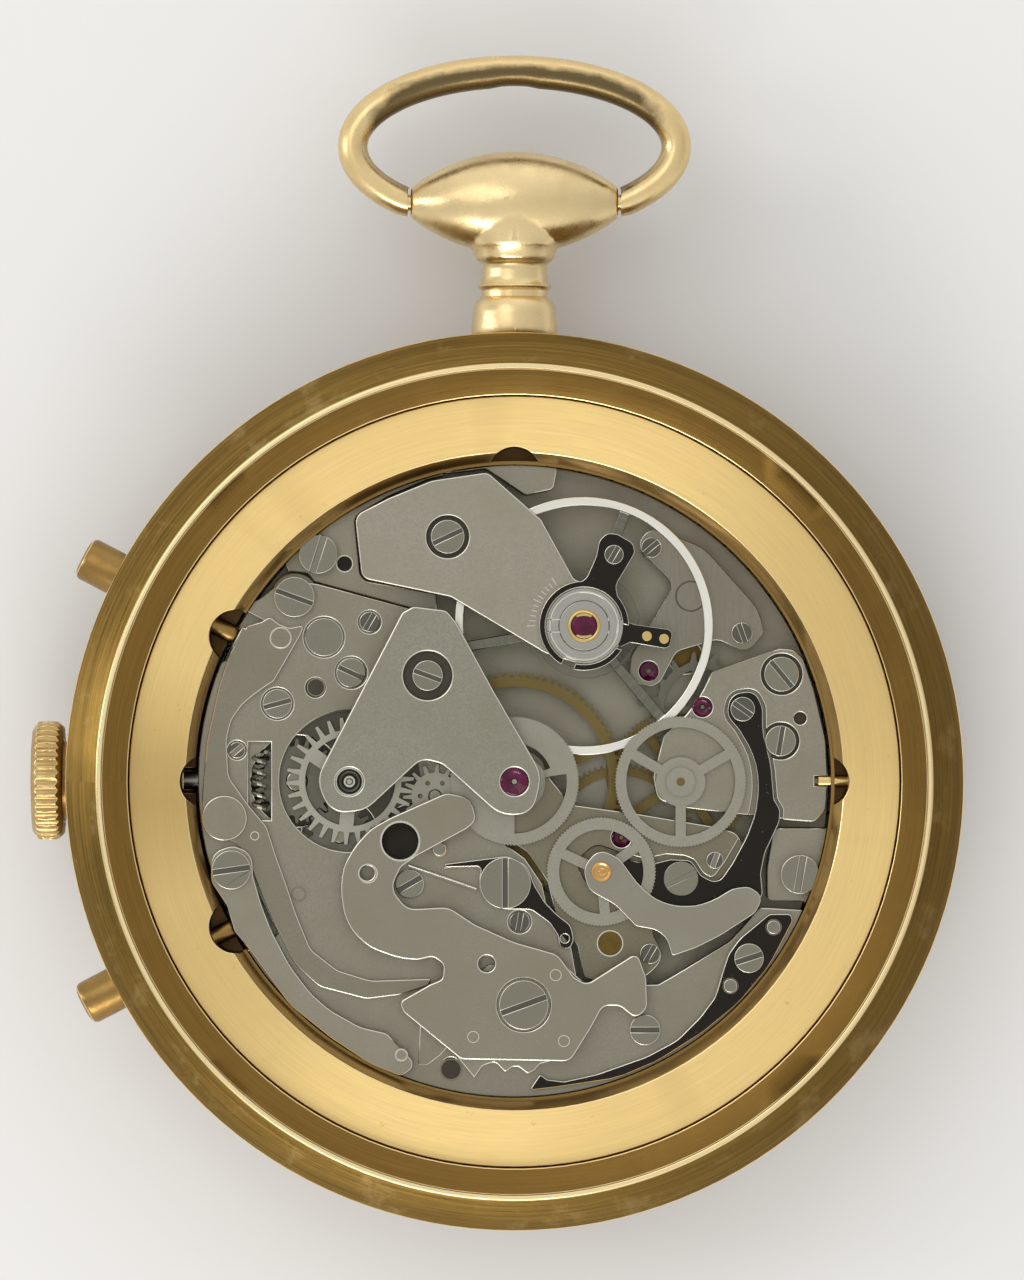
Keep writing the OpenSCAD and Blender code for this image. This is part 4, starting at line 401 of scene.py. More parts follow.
def crystal_material():
    """The watch's glass, a little uneven in its polish."""
    m = Nodes("crystal")
    matt = m.span(m.noise(m.mapped(), 0.6, 2), 0.3, 0.7, 0.02, 0.06)
    return m.finish((0.94, 0.97, 0.98), matt, metal=0.0, IOR=1.5, Transmission_Weight=0.95)


def dial_material():
    """The dial: silvered, with a printed minute track at its edge."""
    m = Nodes("dial")
    radius, angle, _ = m.around()
    fine = m.noise(m.mapped(), 12, 3)
    strokes = m.span(m.math("COSINE", m.times(angle, 60.0)), 0.93, 0.95)
    track = m.times(m.band(radius, 15.0, 15.73, 0.03), strokes)
    tone = m.mix(m.span(fine, 0.3, 0.7), (0.78, 0.76, 0.69), (0.86, 0.84, 0.78))
    tone = m.mix(track, tone, (0.05, 0.05, 0.06))
    tone = m.mix(m.band(radius, 15.5, 15.76, 0.04), tone, (0.06, 0.06, 0.07))
    return m.finish(tone, m.span(fine, 0.3, 0.7, 0.4, 0.5), metal=0.15, normal=m.bump(fine, 0.15))


def lacquer(name, color):
    """The glossy paint of the hands."""
    m = Nodes(name)
    cloud = m.noise(m.mapped(), 4, 2)
    tone = m.mix(m.span(cloud, 0.3, 0.7), shade(color, 0.85), shade(color, 1.15))
    return m.finish(tone, 0.2, metal=0.1, Coat_Weight=0.5)


def index_material():
    """The index: a silver disc, bright on its rim, with a black arm."""
    m = Nodes("index")
    disc_r = 1.88
    radius, angle, _ = m.around(BALANCE)
    rings = m.noise(m.join(radius, m.times(angle, 0.3), 0.0), 6, 3)
    silver = m.mix(m.span(rings, 0.3, 0.7), (0.4, 0.385, 0.34), (0.46, 0.445, 0.4))
    tone = m.mix(m.span(radius, disc_r - 0.02, disc_r + 0.02), silver, (0.03, 0.027, 0.022))
    return m.finish(tone, m.span(rings, 0.3, 0.7, 0.14, 0.2), normal=m.bump(rings, 0.1))


def balance_material():
    """The balance: one steel, with a painted highlight on the rim and a painted dark reflection on the arms."""
    m = Nodes("balance_steel")
    rim_in = 5.84
    radius, angle, height = m.around(BALANCE)
    rings = m.noise(m.join(radius, m.times(angle, 0.3), height), 6, 3)
    # painted shade: the arms darkened as a dark reflection
    arms = m.mix(m.span(rings, 0.3, 0.7), (0.16, 0.15, 0.115), (0.21, 0.2, 0.16))
    # painted highlight: the rim brightened
    rim = m.mix(m.span(rings, 0.3, 0.7), (0.87, 0.84, 0.74), (0.95, 0.92, 0.82))
    tone = m.mix(m.span(radius, rim_in - 0.02, rim_in + 0.02), arms, rim)
    return m.finish(tone, m.span(rings, 0.3, 0.7, 0.16, 0.24), normal=m.bump(rings, 0.1))


def setting_material():
    """The shock setting: gilt inside, steel outside."""
    m = Nodes("setting")
    gilt_r = 0.82
    cloud = m.noise(m.mapped(), 5, 2)
    gilt = m.mix(cloud, (0.4, 0.3, 0.14), (0.5, 0.4, 0.2))
    tone = m.mix(m.span(m.around(BALANCE)[0], gilt_r - 0.02, gilt_r + 0.02), gilt, (0.42, 0.405, 0.36))
    return m.finish(tone, m.span(cloud, 0.3, 0.7, 0.14, 0.24))


NICKEL = (0.302, 0.281, 0.217)
MATERIALS = {
    "ring": ring_material(),
    "case": case_material(),
    # painted shade in the ring's notches
    "notch": frosted("notch_painted_shade", (0.14, 0.08, 0.03), 0.4),
    "chamfer": turned_metal("chamfer_gold", (0.86, 0.56, 0.2), 0.34, rings=6, depth=0.2),
    # painted shade: dim gold for the ring's wall and the strip in the slit
    "wall": turned_metal("ring_wall_painted_shade", (0.3, 0.19, 0.06), 0.36, rings=6, depth=0.2),
    "bezel": turned_metal("bezel_gold", (0.5, 0.36, 0.14), 0.3, rings=6),
    "pale": old_gold("pale_gold", (0.84, 0.655, 0.35), 0.26, 0.2),
    "bow": bow_material(),
    "crown": old_gold("crown_gold", (0.53, 0.365, 0.15), 0.26, 0.4),
    "rose": old_gold("rose_gold", (0.34, 0.21, 0.068), 0.3, 0.5),
    "pin": polished("pin_gold", (0.85, 0.6, 0.24), 0.2, 0.5),
    "nickel": frosted("nickel_plate", shade(NICKEL, 1.05), 0.38),
    # painted shade in the well round the minute counter
    "barrel_bridge": frosted("nickel_barrel_bridge", shade(NICKEL, 1.08), 0.37, 0.9, shaded_well=(*MINUTE, 3.45)),
    "lever_plate": frosted("nickel_lever_plate", shade(NICKEL, 0.98), 0.37, 0.9),
    "center_bridge": frosted("nickel_center_bridge", (0.23, 0.208, 0.145), 0.37, 0.9),
    "train_bridge": frosted("nickel_train_bridge", shade(NICKEL, 1.02), 0.37, 0.9),
    "cock": frosted("nickel_cock", (0.36, 0.335, 0.265), 0.36, 0.9),
    "top_bridge": frosted("nickel_top_bridge", (0.31, 0.295, 0.235), 0.38, 1.3),
    # painted shade on the floors of sunk rings and holes
    "recess": turned_metal("recess_painted_shade", (0.08, 0.072, 0.055), 0.4, rings=8),
    "brushed": frosted("nickel_brushed", shade(NICKEL, 0.88), 0.32, 0.8, math.radians(52), stretch=0.08),
    "lever": frosted("lever_steel", (0.27, 0.245, 0.185), 0.33, 0.5),
    "pale_lever": frosted("lever_steel_fine", (0.33, 0.305, 0.235), 0.32, 0.5),
    "coupling": frosted("coupling_cock_steel", (0.32, 0.3, 0.24), 0.33, 0.5),
    "hammer": frosted("hammer_steel", (0.3, 0.277, 0.212), 0.34, 0.5),
    "edge": polished("polished_edge", (0.69, 0.66, 0.57), 0.22, 0.4),
    "gold_edge": polished("gold_edge", (0.9, 0.68, 0.34), 0.2, 0.5),
    "mirror": polished("mirror_steel", (0.62, 0.6, 0.54), 0.16),
    "screw": polished("screw_steel", (0.268, 0.253, 0.195), 0.17, 1.2),
    # painted shade: darker steel for the pallet cock's sunk screws
    "sunk": polished("sunk_screw_painted_shade", (0.12, 0.115, 0.09), 0.2, 0.8),
    # painted shade: screw slot floors, the bush's countersink and a dowel's dark outline
    "slot": polished("slot_floor_painted_shade", (0.13, 0.122, 0.098), 0.3, 0.2),
    "shadow": polished("shadow_black", (0.035, 0.03, 0.024), 0.35, 0.2),
    "black": polished("black_steel", (0.03, 0.026, 0.022), 0.18, 0.8, dust=0.5),
    "brass": frosted("gilt_brass", (0.2, 0.15, 0.055), 0.34, 0.6),
    "olive": turned_metal("brass_in_shade", (0.16, 0.105, 0.03), 0.3, rings=3, center=BRASS_HOLE, depth=0.2),
    "copper": polished("copper_bush", (0.62, 0.36, 0.13), 0.2, 0.6),
    "wheel": frosted("chronograph_wheel", (0.36, 0.345, 0.28), 0.36, 0.7),
    "pale_wheel": frosted("minute_wheel_steel", (0.45, 0.43, 0.36), 0.34, 0.7),
    "gilt": polished("gilt", (0.7, 0.5, 0.2), 0.2, 0.6),
    "setting": setting_material(),
    "index": index_material(),
    "steel": polished("turned_steel", (0.36, 0.35, 0.3), 0.22, 0.6),
    # painted shade: steel darkened for the escape wheel, the fork and other wheels
    "shaded_steel": polished("shaded_steel", (0.17, 0.16, 0.125), 0.34, 0.6),
    "coil": polished("coil_steel", (0.3, 0.285, 0.23), 0.38, 0.3),
    "balance": balance_material(),
    "spring": polished("spring_steel", (0.17, 0.16, 0.13), 0.3, 0.3),
    "ruby": ruby_material(),
    "crystal": crystal_material(),
    "dial": dial_material(),
    "hands": lacquer("hand_black", (0.02, 0.02, 0.03)),
    "red": lacquer("hand_red", (0.35, 0.03, 0.02)),
}


def paint(obj, *names):
    """Fills the object's material slots in order. Its faces keep their slot numbers."""
    slots = obj.data.materials
    for i, name in enumerate(names):
        if i < len(slots):
            slots[i] = MATERIALS[name]
        else:
            slots.append(MATERIALS[name])


# Pieces

def piece(name, mesh, node, *mats):
    """A new mesh object that belongs to a CAD node: it rides on the node's body and has its slot."""
    obj = bpy.data.objects.new(name, mesh)
    bpy.context.scene.collection.objects.link(obj)
    paint(obj, *mats)
    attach(obj, BODY[node])
    return obj


def in_mm(node):
    """A node's mesh as a bmesh in millimetres, with its split corners joined and its flat faces whole."""
    corner_gap, shortest, flattest = 2e-4, 1e-4, math.radians(0.6)
    bm = bmesh.new()
    bm.from_mesh(NODES[node].data)
    bmesh.ops.scale(bm, vec=(1000, 1000, 1000), verts=bm.verts)
    bmesh.ops.remove_doubles(bm, verts=bm.verts, dist=corner_gap)
    bmesh.ops.dissolve_degenerate(bm, edges=bm.edges, dist=shortest)
    bmesh.ops.dissolve_limit(bm, angle_limit=flattest, verts=bm.verts, edges=bm.edges)
    return bm


def bevelled(bm, width, edge_slot=-1):
    """bm with its sharp outward edges cut back by width, as a mesh in metres. The bevels get slot edge_slot,
    or the slot of the faces beside them if it is -1."""
    sharp = math.radians(35)
    weight = bm.edges.layers.float.new("bevel_weight_edge")
    for edge in bm.edges:
        if edge.is_manifold and edge.is_convex and edge.calc_face_angle() > sharp:
            edge[weight] = 1
    raw = bpy.data.meshes.new("raw")
    bm.to_mesh(raw)
    bm.free()
    for _ in range(edge_slot + 1):
        raw.materials.append(MATERIALS["edge"])
    obj = bpy.data.objects.new("raw", raw)
    bpy.context.scene.collection.objects.link(obj)
    bevel = obj.modifiers.new("bevel", "BEVEL")
    bevel.width = width
    bevel.segments = 2
    bevel.limit_method = "WEIGHT"
    bevel.use_clamp_overlap = False
    bevel.miter_outer = "MITER_ARC"
    bevel.material = edge_slot
    mesh = bpy.data.meshes.new_from_object(obj.evaluated_get(bpy.context.evaluated_depsgraph_get()))
    bpy.data.objects.remove(obj)
    mesh.transform(Matrix.Scale(MM, 4))
    return mesh


def smooth(mesh, angle=28):
    """Smooth shading over gentle edges. Level faces stay flat, so that no shade creeps over a plate."""
    mesh.set_sharp_from_angle(angle=math.radians(angle))
    for face in mesh.polygons:
        face.use_smooth = abs(face.normal.z) < 0.9999
    return mesh


def dressed(node, *mats, width, sort=None, drop=None):
    """Stands for a CAD node: the same shape with polished bevels on its edges. mats are face, bevel and any
    others, which sort hands out face by face. drop picks the points of solids that another piece stands
    for."""
    bm = in_mm(node)
    if drop:
        gone = [vert for vert in bm.verts if drop(vert.co)]
        bmesh.ops.delete(bm, geom=gone, context="VERTS")
    mesh = smooth(bevelled(bm, width, edge_slot=1))
    if sort:
        for face in mesh.polygons:
            face.material_index = sort(face)
    obj = piece(node + "_dressed", mesh, node, *mats)
    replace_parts(obj, node)


def away(point, spot):
    """Distance in plan between a point and (x, y)."""
    return math.hypot(point.x - spot[0], point.y - spot[1])


def screw_face(face):
    """The floor of a screw's slot gets painted shade: a level face that is long and narrow. The pallet cock's
    screws get painted shade too."""
    widest, least_ratio, head_r = 0.5, 2.2, 0.6
    slot = face.material_index
    if face.normal.z < 0.95:
        return slot
    middle = face.center / MM
    corners = [face.id_data.vertices[v].co / MM for v in face.vertices]
    start, end = max(((a, b) for a in corners for b in corners), key=lambda pair: (pair[0] - pair[1]).length)
    along = (end - start).normalized()
    side = Vector((-along.y, along.x, 0))
    reach = [(corner - middle) @ side for corner in corners]
    length = (end - start).length
    width = max(reach) - min(reach)
    if width < widest and length > least_ratio * width:
        return 2
    # painted shade on the pallet cock's screws
    sunk_in_shade = min(away(middle, screw) for screw in PALLET_SCREWS) < head_r
    return 3 if slot == 0 and sunk_in_shade else slot


def recess_face(spots):
    """Sorts the floors of the sunk rings round the screws at spots, which get painted shade: [(x, y, radius,
    height)].
    """
    def sort(face):
        middle = face.center / MM
        for x, y, radius, height in spots:
            if away(middle, (x, y)) < radius and middle.z < height:
                return 2
        return face.material_index
    return sort


def clutch_face(face):
    """The clutch is black below; its cock is grey, with a copper bush, and its screw is bright."""
    bush_r, screw_r, gap = 0.52, 0.87, 0.02
    slot = face.material_index
    middle = face.center / MM
    if away(middle, COUPLING) < bush_r and middle.z > Z_COCK:
        return 4
    if away(middle, CLUTCH_SCREW) < screw_r and Z_CLUTCH < middle.z < Z_COCK - gap:
        return 5
    if middle.z > Z_CLUTCH + gap:
        return 3 if slot == 1 else 2
    return slot


def ring_face(face):
    """The notches in the ring get painted shade, its steep inner chamfer is darker gold and its wall is gold with
    painted shade.
    """
    near, wall_end, notch_end, notch_top = 15.3, 15.62, 17.0, 9.1
    slot = face.material_index
    middle = face.center / MM
    radius = math.hypot(middle.x, middle.y)
    if near < radius < wall_end and face.normal.z < 0.2:
        return 4
    if slot or not (near < radius < notch_end and Z_STEM - 0.1 < middle.z < notch_top):
        return slot
    return 3 if 0.25 < face.normal.z < 0.6 else 2


def index_face(face):
    """The index has gold pins on its arm."""
    pin_r, arm_top = 0.26, 9.3
    middle = face.center / MM
    pin = min(away(middle, spot) for spot in INDEX_PINS) < pin_r and middle.z > arm_top
    return 2 if pin else face.material_index


def dress_all():
    """The pieces that stand for plates, bridges, levers and case parts, each with its width of bevel."""
    train_recesses = recess_face([
        (12.95, 1.95, 0.92, 7.45),
        (13.0, 5.2, 1.02, 7.45),
        (13.9, 3.05, 0.32, 7.5),
    ])
    cock_recess = recess_face([(-3.24, 11.87, 1.05, 9.0)])
    bridge_recess = recess_face([(-4.21, 5.14, 1.2, 9.2)])
    for node, mats, width, sort in (
        ("mainplate", ("nickel", "edge"), 0.06, None),
        ("barrel_bridge", ("barrel_bridge", "edge"), 0.055, None),
        ("lever_plate", ("lever_plate", "edge"), 0.055, None),
        ("center_bridge", ("center_bridge", "edge"), 0.055, None),
        ("train_bridge", ("train_bridge", "edge", "recess"), 0.055, train_recesses),
        ("pallet_cock", ("brushed", "edge"), 0.04, None),
        ("balance_cock", ("cock", "edge", "recess"), 0.065, cock_recess),
        ("chronograph_bridge", ("top_bridge", "edge", "recess"), 0.075, bridge_recess),
        ("hammer", ("hammer", "edge"), 0.065, None),
        ("operating_lever", ("lever", "edge"), 0.055, None),
        ("fly_back_lever", ("pale_lever", "edge"), 0.055, None),
        ("operating_cam", ("pale_lever", "edge"), 0.06, None),
        ("blocking_lever", ("black", "edge"), 0.05, None),
        ("cam_jumper", ("black", "edge"), 0.05, None),
        ("stud_carrier", ("black", "edge"), 0.035, None),
        ("regulator", ("index", "edge", "gilt"), 0.02, index_face),
        ("shock_setting", ("setting", "setting"), 0.03, None),
        ("coupling_clutch", ("black", "edge", "coupling", "edge", "copper", "screw"), 0.045, clutch_face),
        ("pendant", ("pale", "pale"), 0.12, None),
        ("crown", ("crown", "gold_edge"), 0.03, None),
        ("start_pusher", ("rose", "pin"), 0.04, None),
        ("reset_pusher", ("rose", "pin"), 0.04, None),
        ("case_middle", ("case", "gold_edge"), 0.05, None),
        ("movement_ring", ("ring", "gold_edge", "notch", "chamfer", "wall"), 0.05, ring_face),
    ):
        dressed(node, *mats, width=width, sort=sort)
    dressed("bridge_screws", "screw", "edge", "slot", "sunk", width=0.035, sort=screw_face,
            drop=lambda point: away(point, MINUTE) < BUSH_R + 0.07)


def made(name, bm, node, *mats, angle=28):
    """bm, drawn in mm, as a piece that belongs to a CAD node."""
    bmesh.ops.recalc_face_normals(bm, faces=bm.faces)
    mesh = bpy.data.meshes.new(name)
    bm.to_mesh(mesh)
    bm.free()
    mesh.transform(Matrix.Scale(MM, 4))
    return piece(name, smooth(mesh, angle), node, *mats)


def bow():
    """The bow: an oval with a smooth round section, worn a little at the middle of its inner side. Its two
    ends are flat and a little wider, each with a pin that it turns on."""
    side_w, top_w, depth, end_x, end_swell = 1.45, 1.6, 1.8, 5.22, 1.25
    worn_depth, worn_half_w = 0.12, 1.1
    pin_r, pin_l, pin_x = 0.4, 1.1, end_x - 0.3
    steps, sides = 120, 36
    hinge_y, z = (c / MM for c in JOINTS["bow_swing"]["pos_m"][1:])
    start = math.acos(end_x / BOW_HALF_W)
    bm = bmesh.new()
    rings = []
    for i in range(steps + 1):
        a = -start + i * (math.pi + 2 * start) / steps
        x, y = BOW_HALF_W * math.cos(a), BOW_MIDDLE_Y + BOW_HALF_H * math.sin(a)
        out = Vector((BOW_HALF_H * math.cos(a), BOW_HALF_W * math.sin(a))).normalized()
        w = side_w + (top_w - side_w) * max(0.0, math.sin(a))
        worn = worn_depth * max(0.0, 1 - (x / worn_half_w) ** 4) if math.sin(a) > 0 else 0.0
        if i in (0, steps):
            x = math.copysign(end_x, x)
            w *= end_swell
            out = Vector((0, math.sin(a)))
        ring = []
        for j in range(sides):
            b = 2 * math.pi * j / sides
            reach = math.cos(b) * w / 2
            if reach < 0:
                reach *= 1 - worn
            ring.append(bm.verts.new((x + out.x * reach, y + out.y * reach, z + math.sin(b) * depth / 2)))
        rings.append(ring)
    for low, high in zip(rings, rings[1:]):
        for j in range(sides):
            k = (j + 1) % sides
            bm.faces.new((low[j], high[j], high[k], low[k]))
    bm.faces.new(rings[0])
    bm.faces.new(rings[-1][::-1])
    lying = Matrix.Rotation(math.pi / 2, 4, "Y")
    for side in (-1, 1):
        place = Matrix.Translation((side * pin_x, hinge_y, z)) @ lying
        bmesh.ops.create_cone(bm, cap_ends=True, segments=32, radius1=pin_r, radius2=pin_r, depth=pin_l,
                              matrix=place)
    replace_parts(made("bow_round", bm, "bow", "bow", angle=40), "bow")


def balance():
    """The balance wheel, with its arms turned to where the photo has them out of sight. Its staff stays."""
    staff_r, foot = 0.3, Z_WHEEL - 0.02
    turn = Matrix.Rotation(math.radians(30), 4, "Z")
    middle = Matrix.Translation((*BALANCE, 0))
    bm = in_mm("balance_wheel")
    wheel = [vert for vert in bm.verts if away(vert.co, BALANCE) > staff_r and vert.co.z > foot]
    bmesh.ops.transform(bm, matrix=middle @ turn @ middle.inverted(), verts=wheel)
    mesh = smooth(bevelled(bm, width=0.04))
    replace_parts(piece("balance_wheel_dressed", mesh, "balance_wheel", "balance"), "balance_wheel")


PLAIN = {
    "front_bezel": "bezel", "crystal": "crystal", "locating_pin": "pin", "dial": "dial",
    "hour_markers": "gilt", "crown_tube": "rose", "winding_stem": "steel", "winding_pinion": "steel",
    "lever_springs": "coil", "barrel": "brass", "ratchet_wheel": "shaded_steel", "crown_wheel": "shaded_steel",
    "transmission_wheel": "shaded_steel", "center_wheel": "brass", "third_wheel": "brass",
    "fourth_wheel": "brass", "driving_wheel": "wheel", "escape_wheel": "shaded_steel",
    "pallet_fork": "shaded_steel", "balance_spring": "spring", "cannon_pinion": "steel",
    "minute_wheel": "brass", "hour_wheel": "brass", "hour_hand": "hands", "minute_hand": "hands",
    "chronograph_hand": "red", "small_seconds_hand": "hands", "minute_counter_hand": "hands",
    "chronograph_runner": "wheel", "minute_runner": "pale_wheel", "sliding_gear": "wheel",
    "coupling_wheel": "wheel",
}


def paint_nodes():
    """Paints the nodes that keep their CAD mesh."""
    for node, name in PLAIN.items():
        paint(NODES[node], name)


# Small turned and engraved pieces

def polar(center, radius, angle):
    """The point at a radius and an angle in radians about center, as (x, y)."""
    return center[0] + radius * math.cos(angle), center[1] + radius * math.sin(angle)


def turned(bm, profile, center, steps=40, slot=0):
    """Adds a turned solid to bm. profile is a closed loop of (radius, height) in mm, or runs from axis to
    axis."""
    rings = []
    for radius, z in profile:
        on_axis = radius < 1e-6
        angles = [0.0] if on_axis else [2 * math.pi * k / steps for k in range(steps)]
        rings.append([bm.verts.new((*polar(center, radius, a), z)) for a in angles])
    closed = profile[0][0] > 1e-6
    for i in range(len(rings) if closed else len(rings) - 1):
        a, b = rings[i], rings[(i + 1) % len(rings)]
        for k in range(steps):
            corners = (a[k % len(a)], a[(k + 1) % len(a)], b[(k + 1) % len(b)], b[k % len(b)])
            corners = list(dict.fromkeys(corners))
            if len(corners) > 2:
                bm.faces.new(corners).material_index = slot


def block(bm, outline, z0, z1):
    """Adds an upright prism to bm over an outline of (x, y) in mm."""
    low = [bm.verts.new((x, y, z0)) for x, y in outline]
    high = [bm.verts.new((x, y, z1)) for x, y in outline]
    n = len(outline)
    bm.faces.new(high)
    bm.faces.new(low[::-1])
    for i in range(n):
        bm.faces.new((low[i], low[(i + 1) % n], high[(i + 1) % n], high[i]))


def ring_line(bm, center, radius, z, half_w=0.035, rise=0.02):
    """A fine raised ring."""
    foot, crest, half_crest = z - 0.02, z + rise, half_w * 0.6
    turned(bm, [(radius - half_w, foot), (radius - half_crest, crest), (radius + half_crest, crest),
                (radius + half_w, foot)], center, 36)


def jewels():
    """Rubies with an oil sink above and a chamfer round the rim, and the cap jewel of the balance."""
    bm = bmesh.new()
    for center, low, thick, radius, bore in (
        (ESCAPE, 7.3, 0.3, 0.48, 0.14),
        (THIRD, 7.3, 0.3, 0.48, 0.14),
        (FOURTH, 7.3, 0.3, 0.48, 0.24),
        (PALLET, 6.24, 0.2, 0.48, 0.14),
        (ESCAPE, 4.6, 0.3, 0.48, 0.14),
        (THIRD, 4.6, 0.3, 0.48, 0.14),
        (FOURTH, 4.6, 0.3, 0.48, 0.24),
        (PALLET, 4.6, 0.3, 0.48, 0.14),
        (BALANCE, 4.1, 0.4, 0.6, 0.16),
        (CHRONOGRAPH, 9.05, 0.35, 0.68, 0.16),
    ):
        high = low + thick
        sink = 0.45 * thick
        wall = radius - bore
        turned(bm, [(bore, low), (bore, high - sink), (bore + 0.3 * wall, high - 0.8 * sink),
                    (bore + 0.58 * wall, high - 0.42 * sink), (bore + 0.74 * wall, high - 0.02),
                    (radius - 0.07, high), (radius - 0.02, high - 0.03), (radius, high - 0.08),
                    (radius, low)], center)
    seat = top("balance_cock")
    turned(bm, [(0, seat), (0.7, seat), (0.7, seat + 0.07), (0.62, seat + 0.12), (0.45, seat + 0.145),
                (0.2, seat + 0.15), (0, seat + 0.15)], BALANCE)
    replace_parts(made("jewels_turned", bm, "jewels", "ruby"), "jewels")


def minute_bush():
    """The steel bush of the minute runner: a bright rim, a countersink with painted shade and a bright collar
    round the pivot."""
    shaded_in, shaded_out, shaded_low, shaded_high = 0.29, 0.61, 9.1, 9.39
    bm = bmesh.new()
    turned(bm, [(0.16, 9.05), (0.16, 9.3), (0.2, 9.33), (0.27, 9.33), (0.3, 9.3), (0.36, 9.14), (0.5, 9.2),
                (0.6, 9.38), (0.62, 9.4), (0.66, 9.4), (BUSH_R, 9.38), (BUSH_R, 9.05)], MINUTE, 48)
    obj = made("minute_bush", bm, "bridge_screws", "mirror", "slot")
    # painted shade in the countersink
    for face in obj.data.polygons:
        middle = face.center / MM
        if shaded_in < away(middle, MINUTE) < shaded_out and shaded_low < middle.z < shaded_high:
            face.material_index = 1


def index_marks():
    """The fine scale beside the index, cut in the balance cock. Every fifth line is longer."""
    lines, first, step = 11, 124, 5.6
    near, far, long_far, half_w = 2.38, 2.66, 2.78, 0.02
    low, high = top("balance_cock") - 0.02, top("balance_cock") + 0.008
    bm = bmesh.new()
    for k in range(lines):
        a = math.radians(first + k * step)
        out = Vector((math.cos(a), math.sin(a)))
        side = Vector((-math.sin(a), math.cos(a))) * half_w
        end = long_far if k % 5 == 0 else far
        inner, outer = Vector(BALANCE) + out * near, Vector(BALANCE) + out * end
        block(bm, [inner - side, outer - side, outer + side, inner + side], low, high)
    made("index_marks", bm, "balance_cock", "edge")


def shock_spring():
    """The lyre-shaped spring that holds the cap jewel of the balance, and the gilt rim round it."""
    outer_r, inner_r, swell = 0.62, 0.36, 0.12
    z = top("shock_setting")
    x, y = BALANCE
    bm = bmesh.new()
    turned(bm, [(0.64, z - 0.1), (0.65, z + 0.01), (0.7, z + 0.03), (0.76, z + 0.02), (0.78, z - 0.02)],
           BALANCE, 48)
    for side in (-1, 1):
        outline = []
        for degrees in range(50, 131, 10):
            a = math.radians(degrees)
            outline.append((x + outer_r * math.cos(a), y + side * outer_r * math.sin(a)))
        for degrees in range(150, 29, -20):
            a = math.radians(degrees)
            outline.append((x + inner_r * math.cos(a), y + side * (inner_r + swell * math.sin(a))))
        block(bm, outline, z - 0.08, z + 0.02)
    made("shock_spring", bm, "shock_setting", "gilt")


def pin_rims(name, node, rims):
    """Bright rims round pins and holes in a lever: [(center, radius, height, half width, rise)]."""
    bm = bmesh.new()
    for rim in rims:
        ring_line(bm, *rim)
    made(name, bm, node, "edge")


def small_marks():
    """The rims of pins and holes in the levers, and a disc of painted shadow under the hole in the hammer."""
    pin_rims("hammer_rims", "hammer", (
        ((2.0, -9.4), 0.27, top("hammer")),
        ((-2.0, -12.4), 0.27, top("hammer")),
        ((2.4, -12.6), 0.27, top("hammer")),
        ((-7.11, -4.47), 0.45, top("hammer"), 0.05, 0.012),
        (HAMMER_HOLE, 0.93, top("hammer"), 0.05, 0.012),
    ))
    pin_rims("operating_pin_rims", "operating_lever", (
        ((-11.37, 6.96), 0.52, top("operating_lever"), 0.03, 0.012),
        ((-12.63, -2.66), 0.2, top("operating_cam"), 0.04, 0.03),
    ))
    pin_rims("fly_back_pin_rim", "fly_back_lever", (
        ((-5.5, -13.3), 0.3, top("fly_back_lever"), 0.03, 0.01),
    ))
    # painted shadow: a dark disc on the lever plate under the hole in the hammer
    bm = bmesh.new()
    low, high = Z_DECK - 0.03, Z_DECK + 0.03
    turned(bm, [(0, low), (0.9, low), (0.9, high), (0, high)], HAMMER_HOLE, 48)
    made("hammer_hole_shadow", bm, "lever_plate", "shadow")


def height(node, x, y):
    """How high node's surface is under a point seen from above, in mm."""
    mesh = NODES[node].data
    tree = BVHTree.FromPolygons([v.co for v in mesh.vertices], [face.vertices for face in mesh.polygons])
    above = Vector((x * MM, y * MM, 0.1))
    return tree.ray_cast(above, Vector((0, 0, -1)))[0].z / MM


def sunk_marks():
    """Small holes, dowels and bushes in the plates: a rim of one material round a floor of another."""
    # Floors of shadow and recess, and the slot rim of the cock's dowel, are painted shade.
    for name, node, center, radius, rim, floor in (
        ("steady_hole", "mainplate", (-8.28, 10.58), 0.4, "edge", "shadow"),
        ("lever_stop_hole", "lever_plate", (-9.66, 4.56), 0.42, "lever", "recess"),
        ("lever_dowel", "lever_plate", (-10.5, -5.5), 0.33, "lever", "lever_plate"),
        ("brass_hole", "center_bridge", BRASS_HOLE, 0.62, "edge", "olive"),
        ("escapement_hole", "mainplate", (8.37, 6.03), 0.85, "edge", "olive"),
        ("cam_stop_hole", "lever_plate", (-3.09, -14.03), 0.5, "lever", "recess"),
        ("cock_dowel", "pallet_cock", (8.6, 9.0), 0.72, "slot", "brushed"),
        ("train_dowel", "lever_plate", (-3.63, -3.36), 0.3, "gilt", "copper"),
    ):
        z = height(node, center[0] + radius + 0.1, center[1])
        floor_r, low, high = radius - 0.04, z - 0.02, z + 0.012
        bm = bmesh.new()
        ring_line(bm, center, radius, z, 0.05, 0.03)
        turned(bm, [(0, low), (floor_r, low), (floor_r, high), (0, high)], center, 36, 1)
        made(name, bm, node, rim, floor)


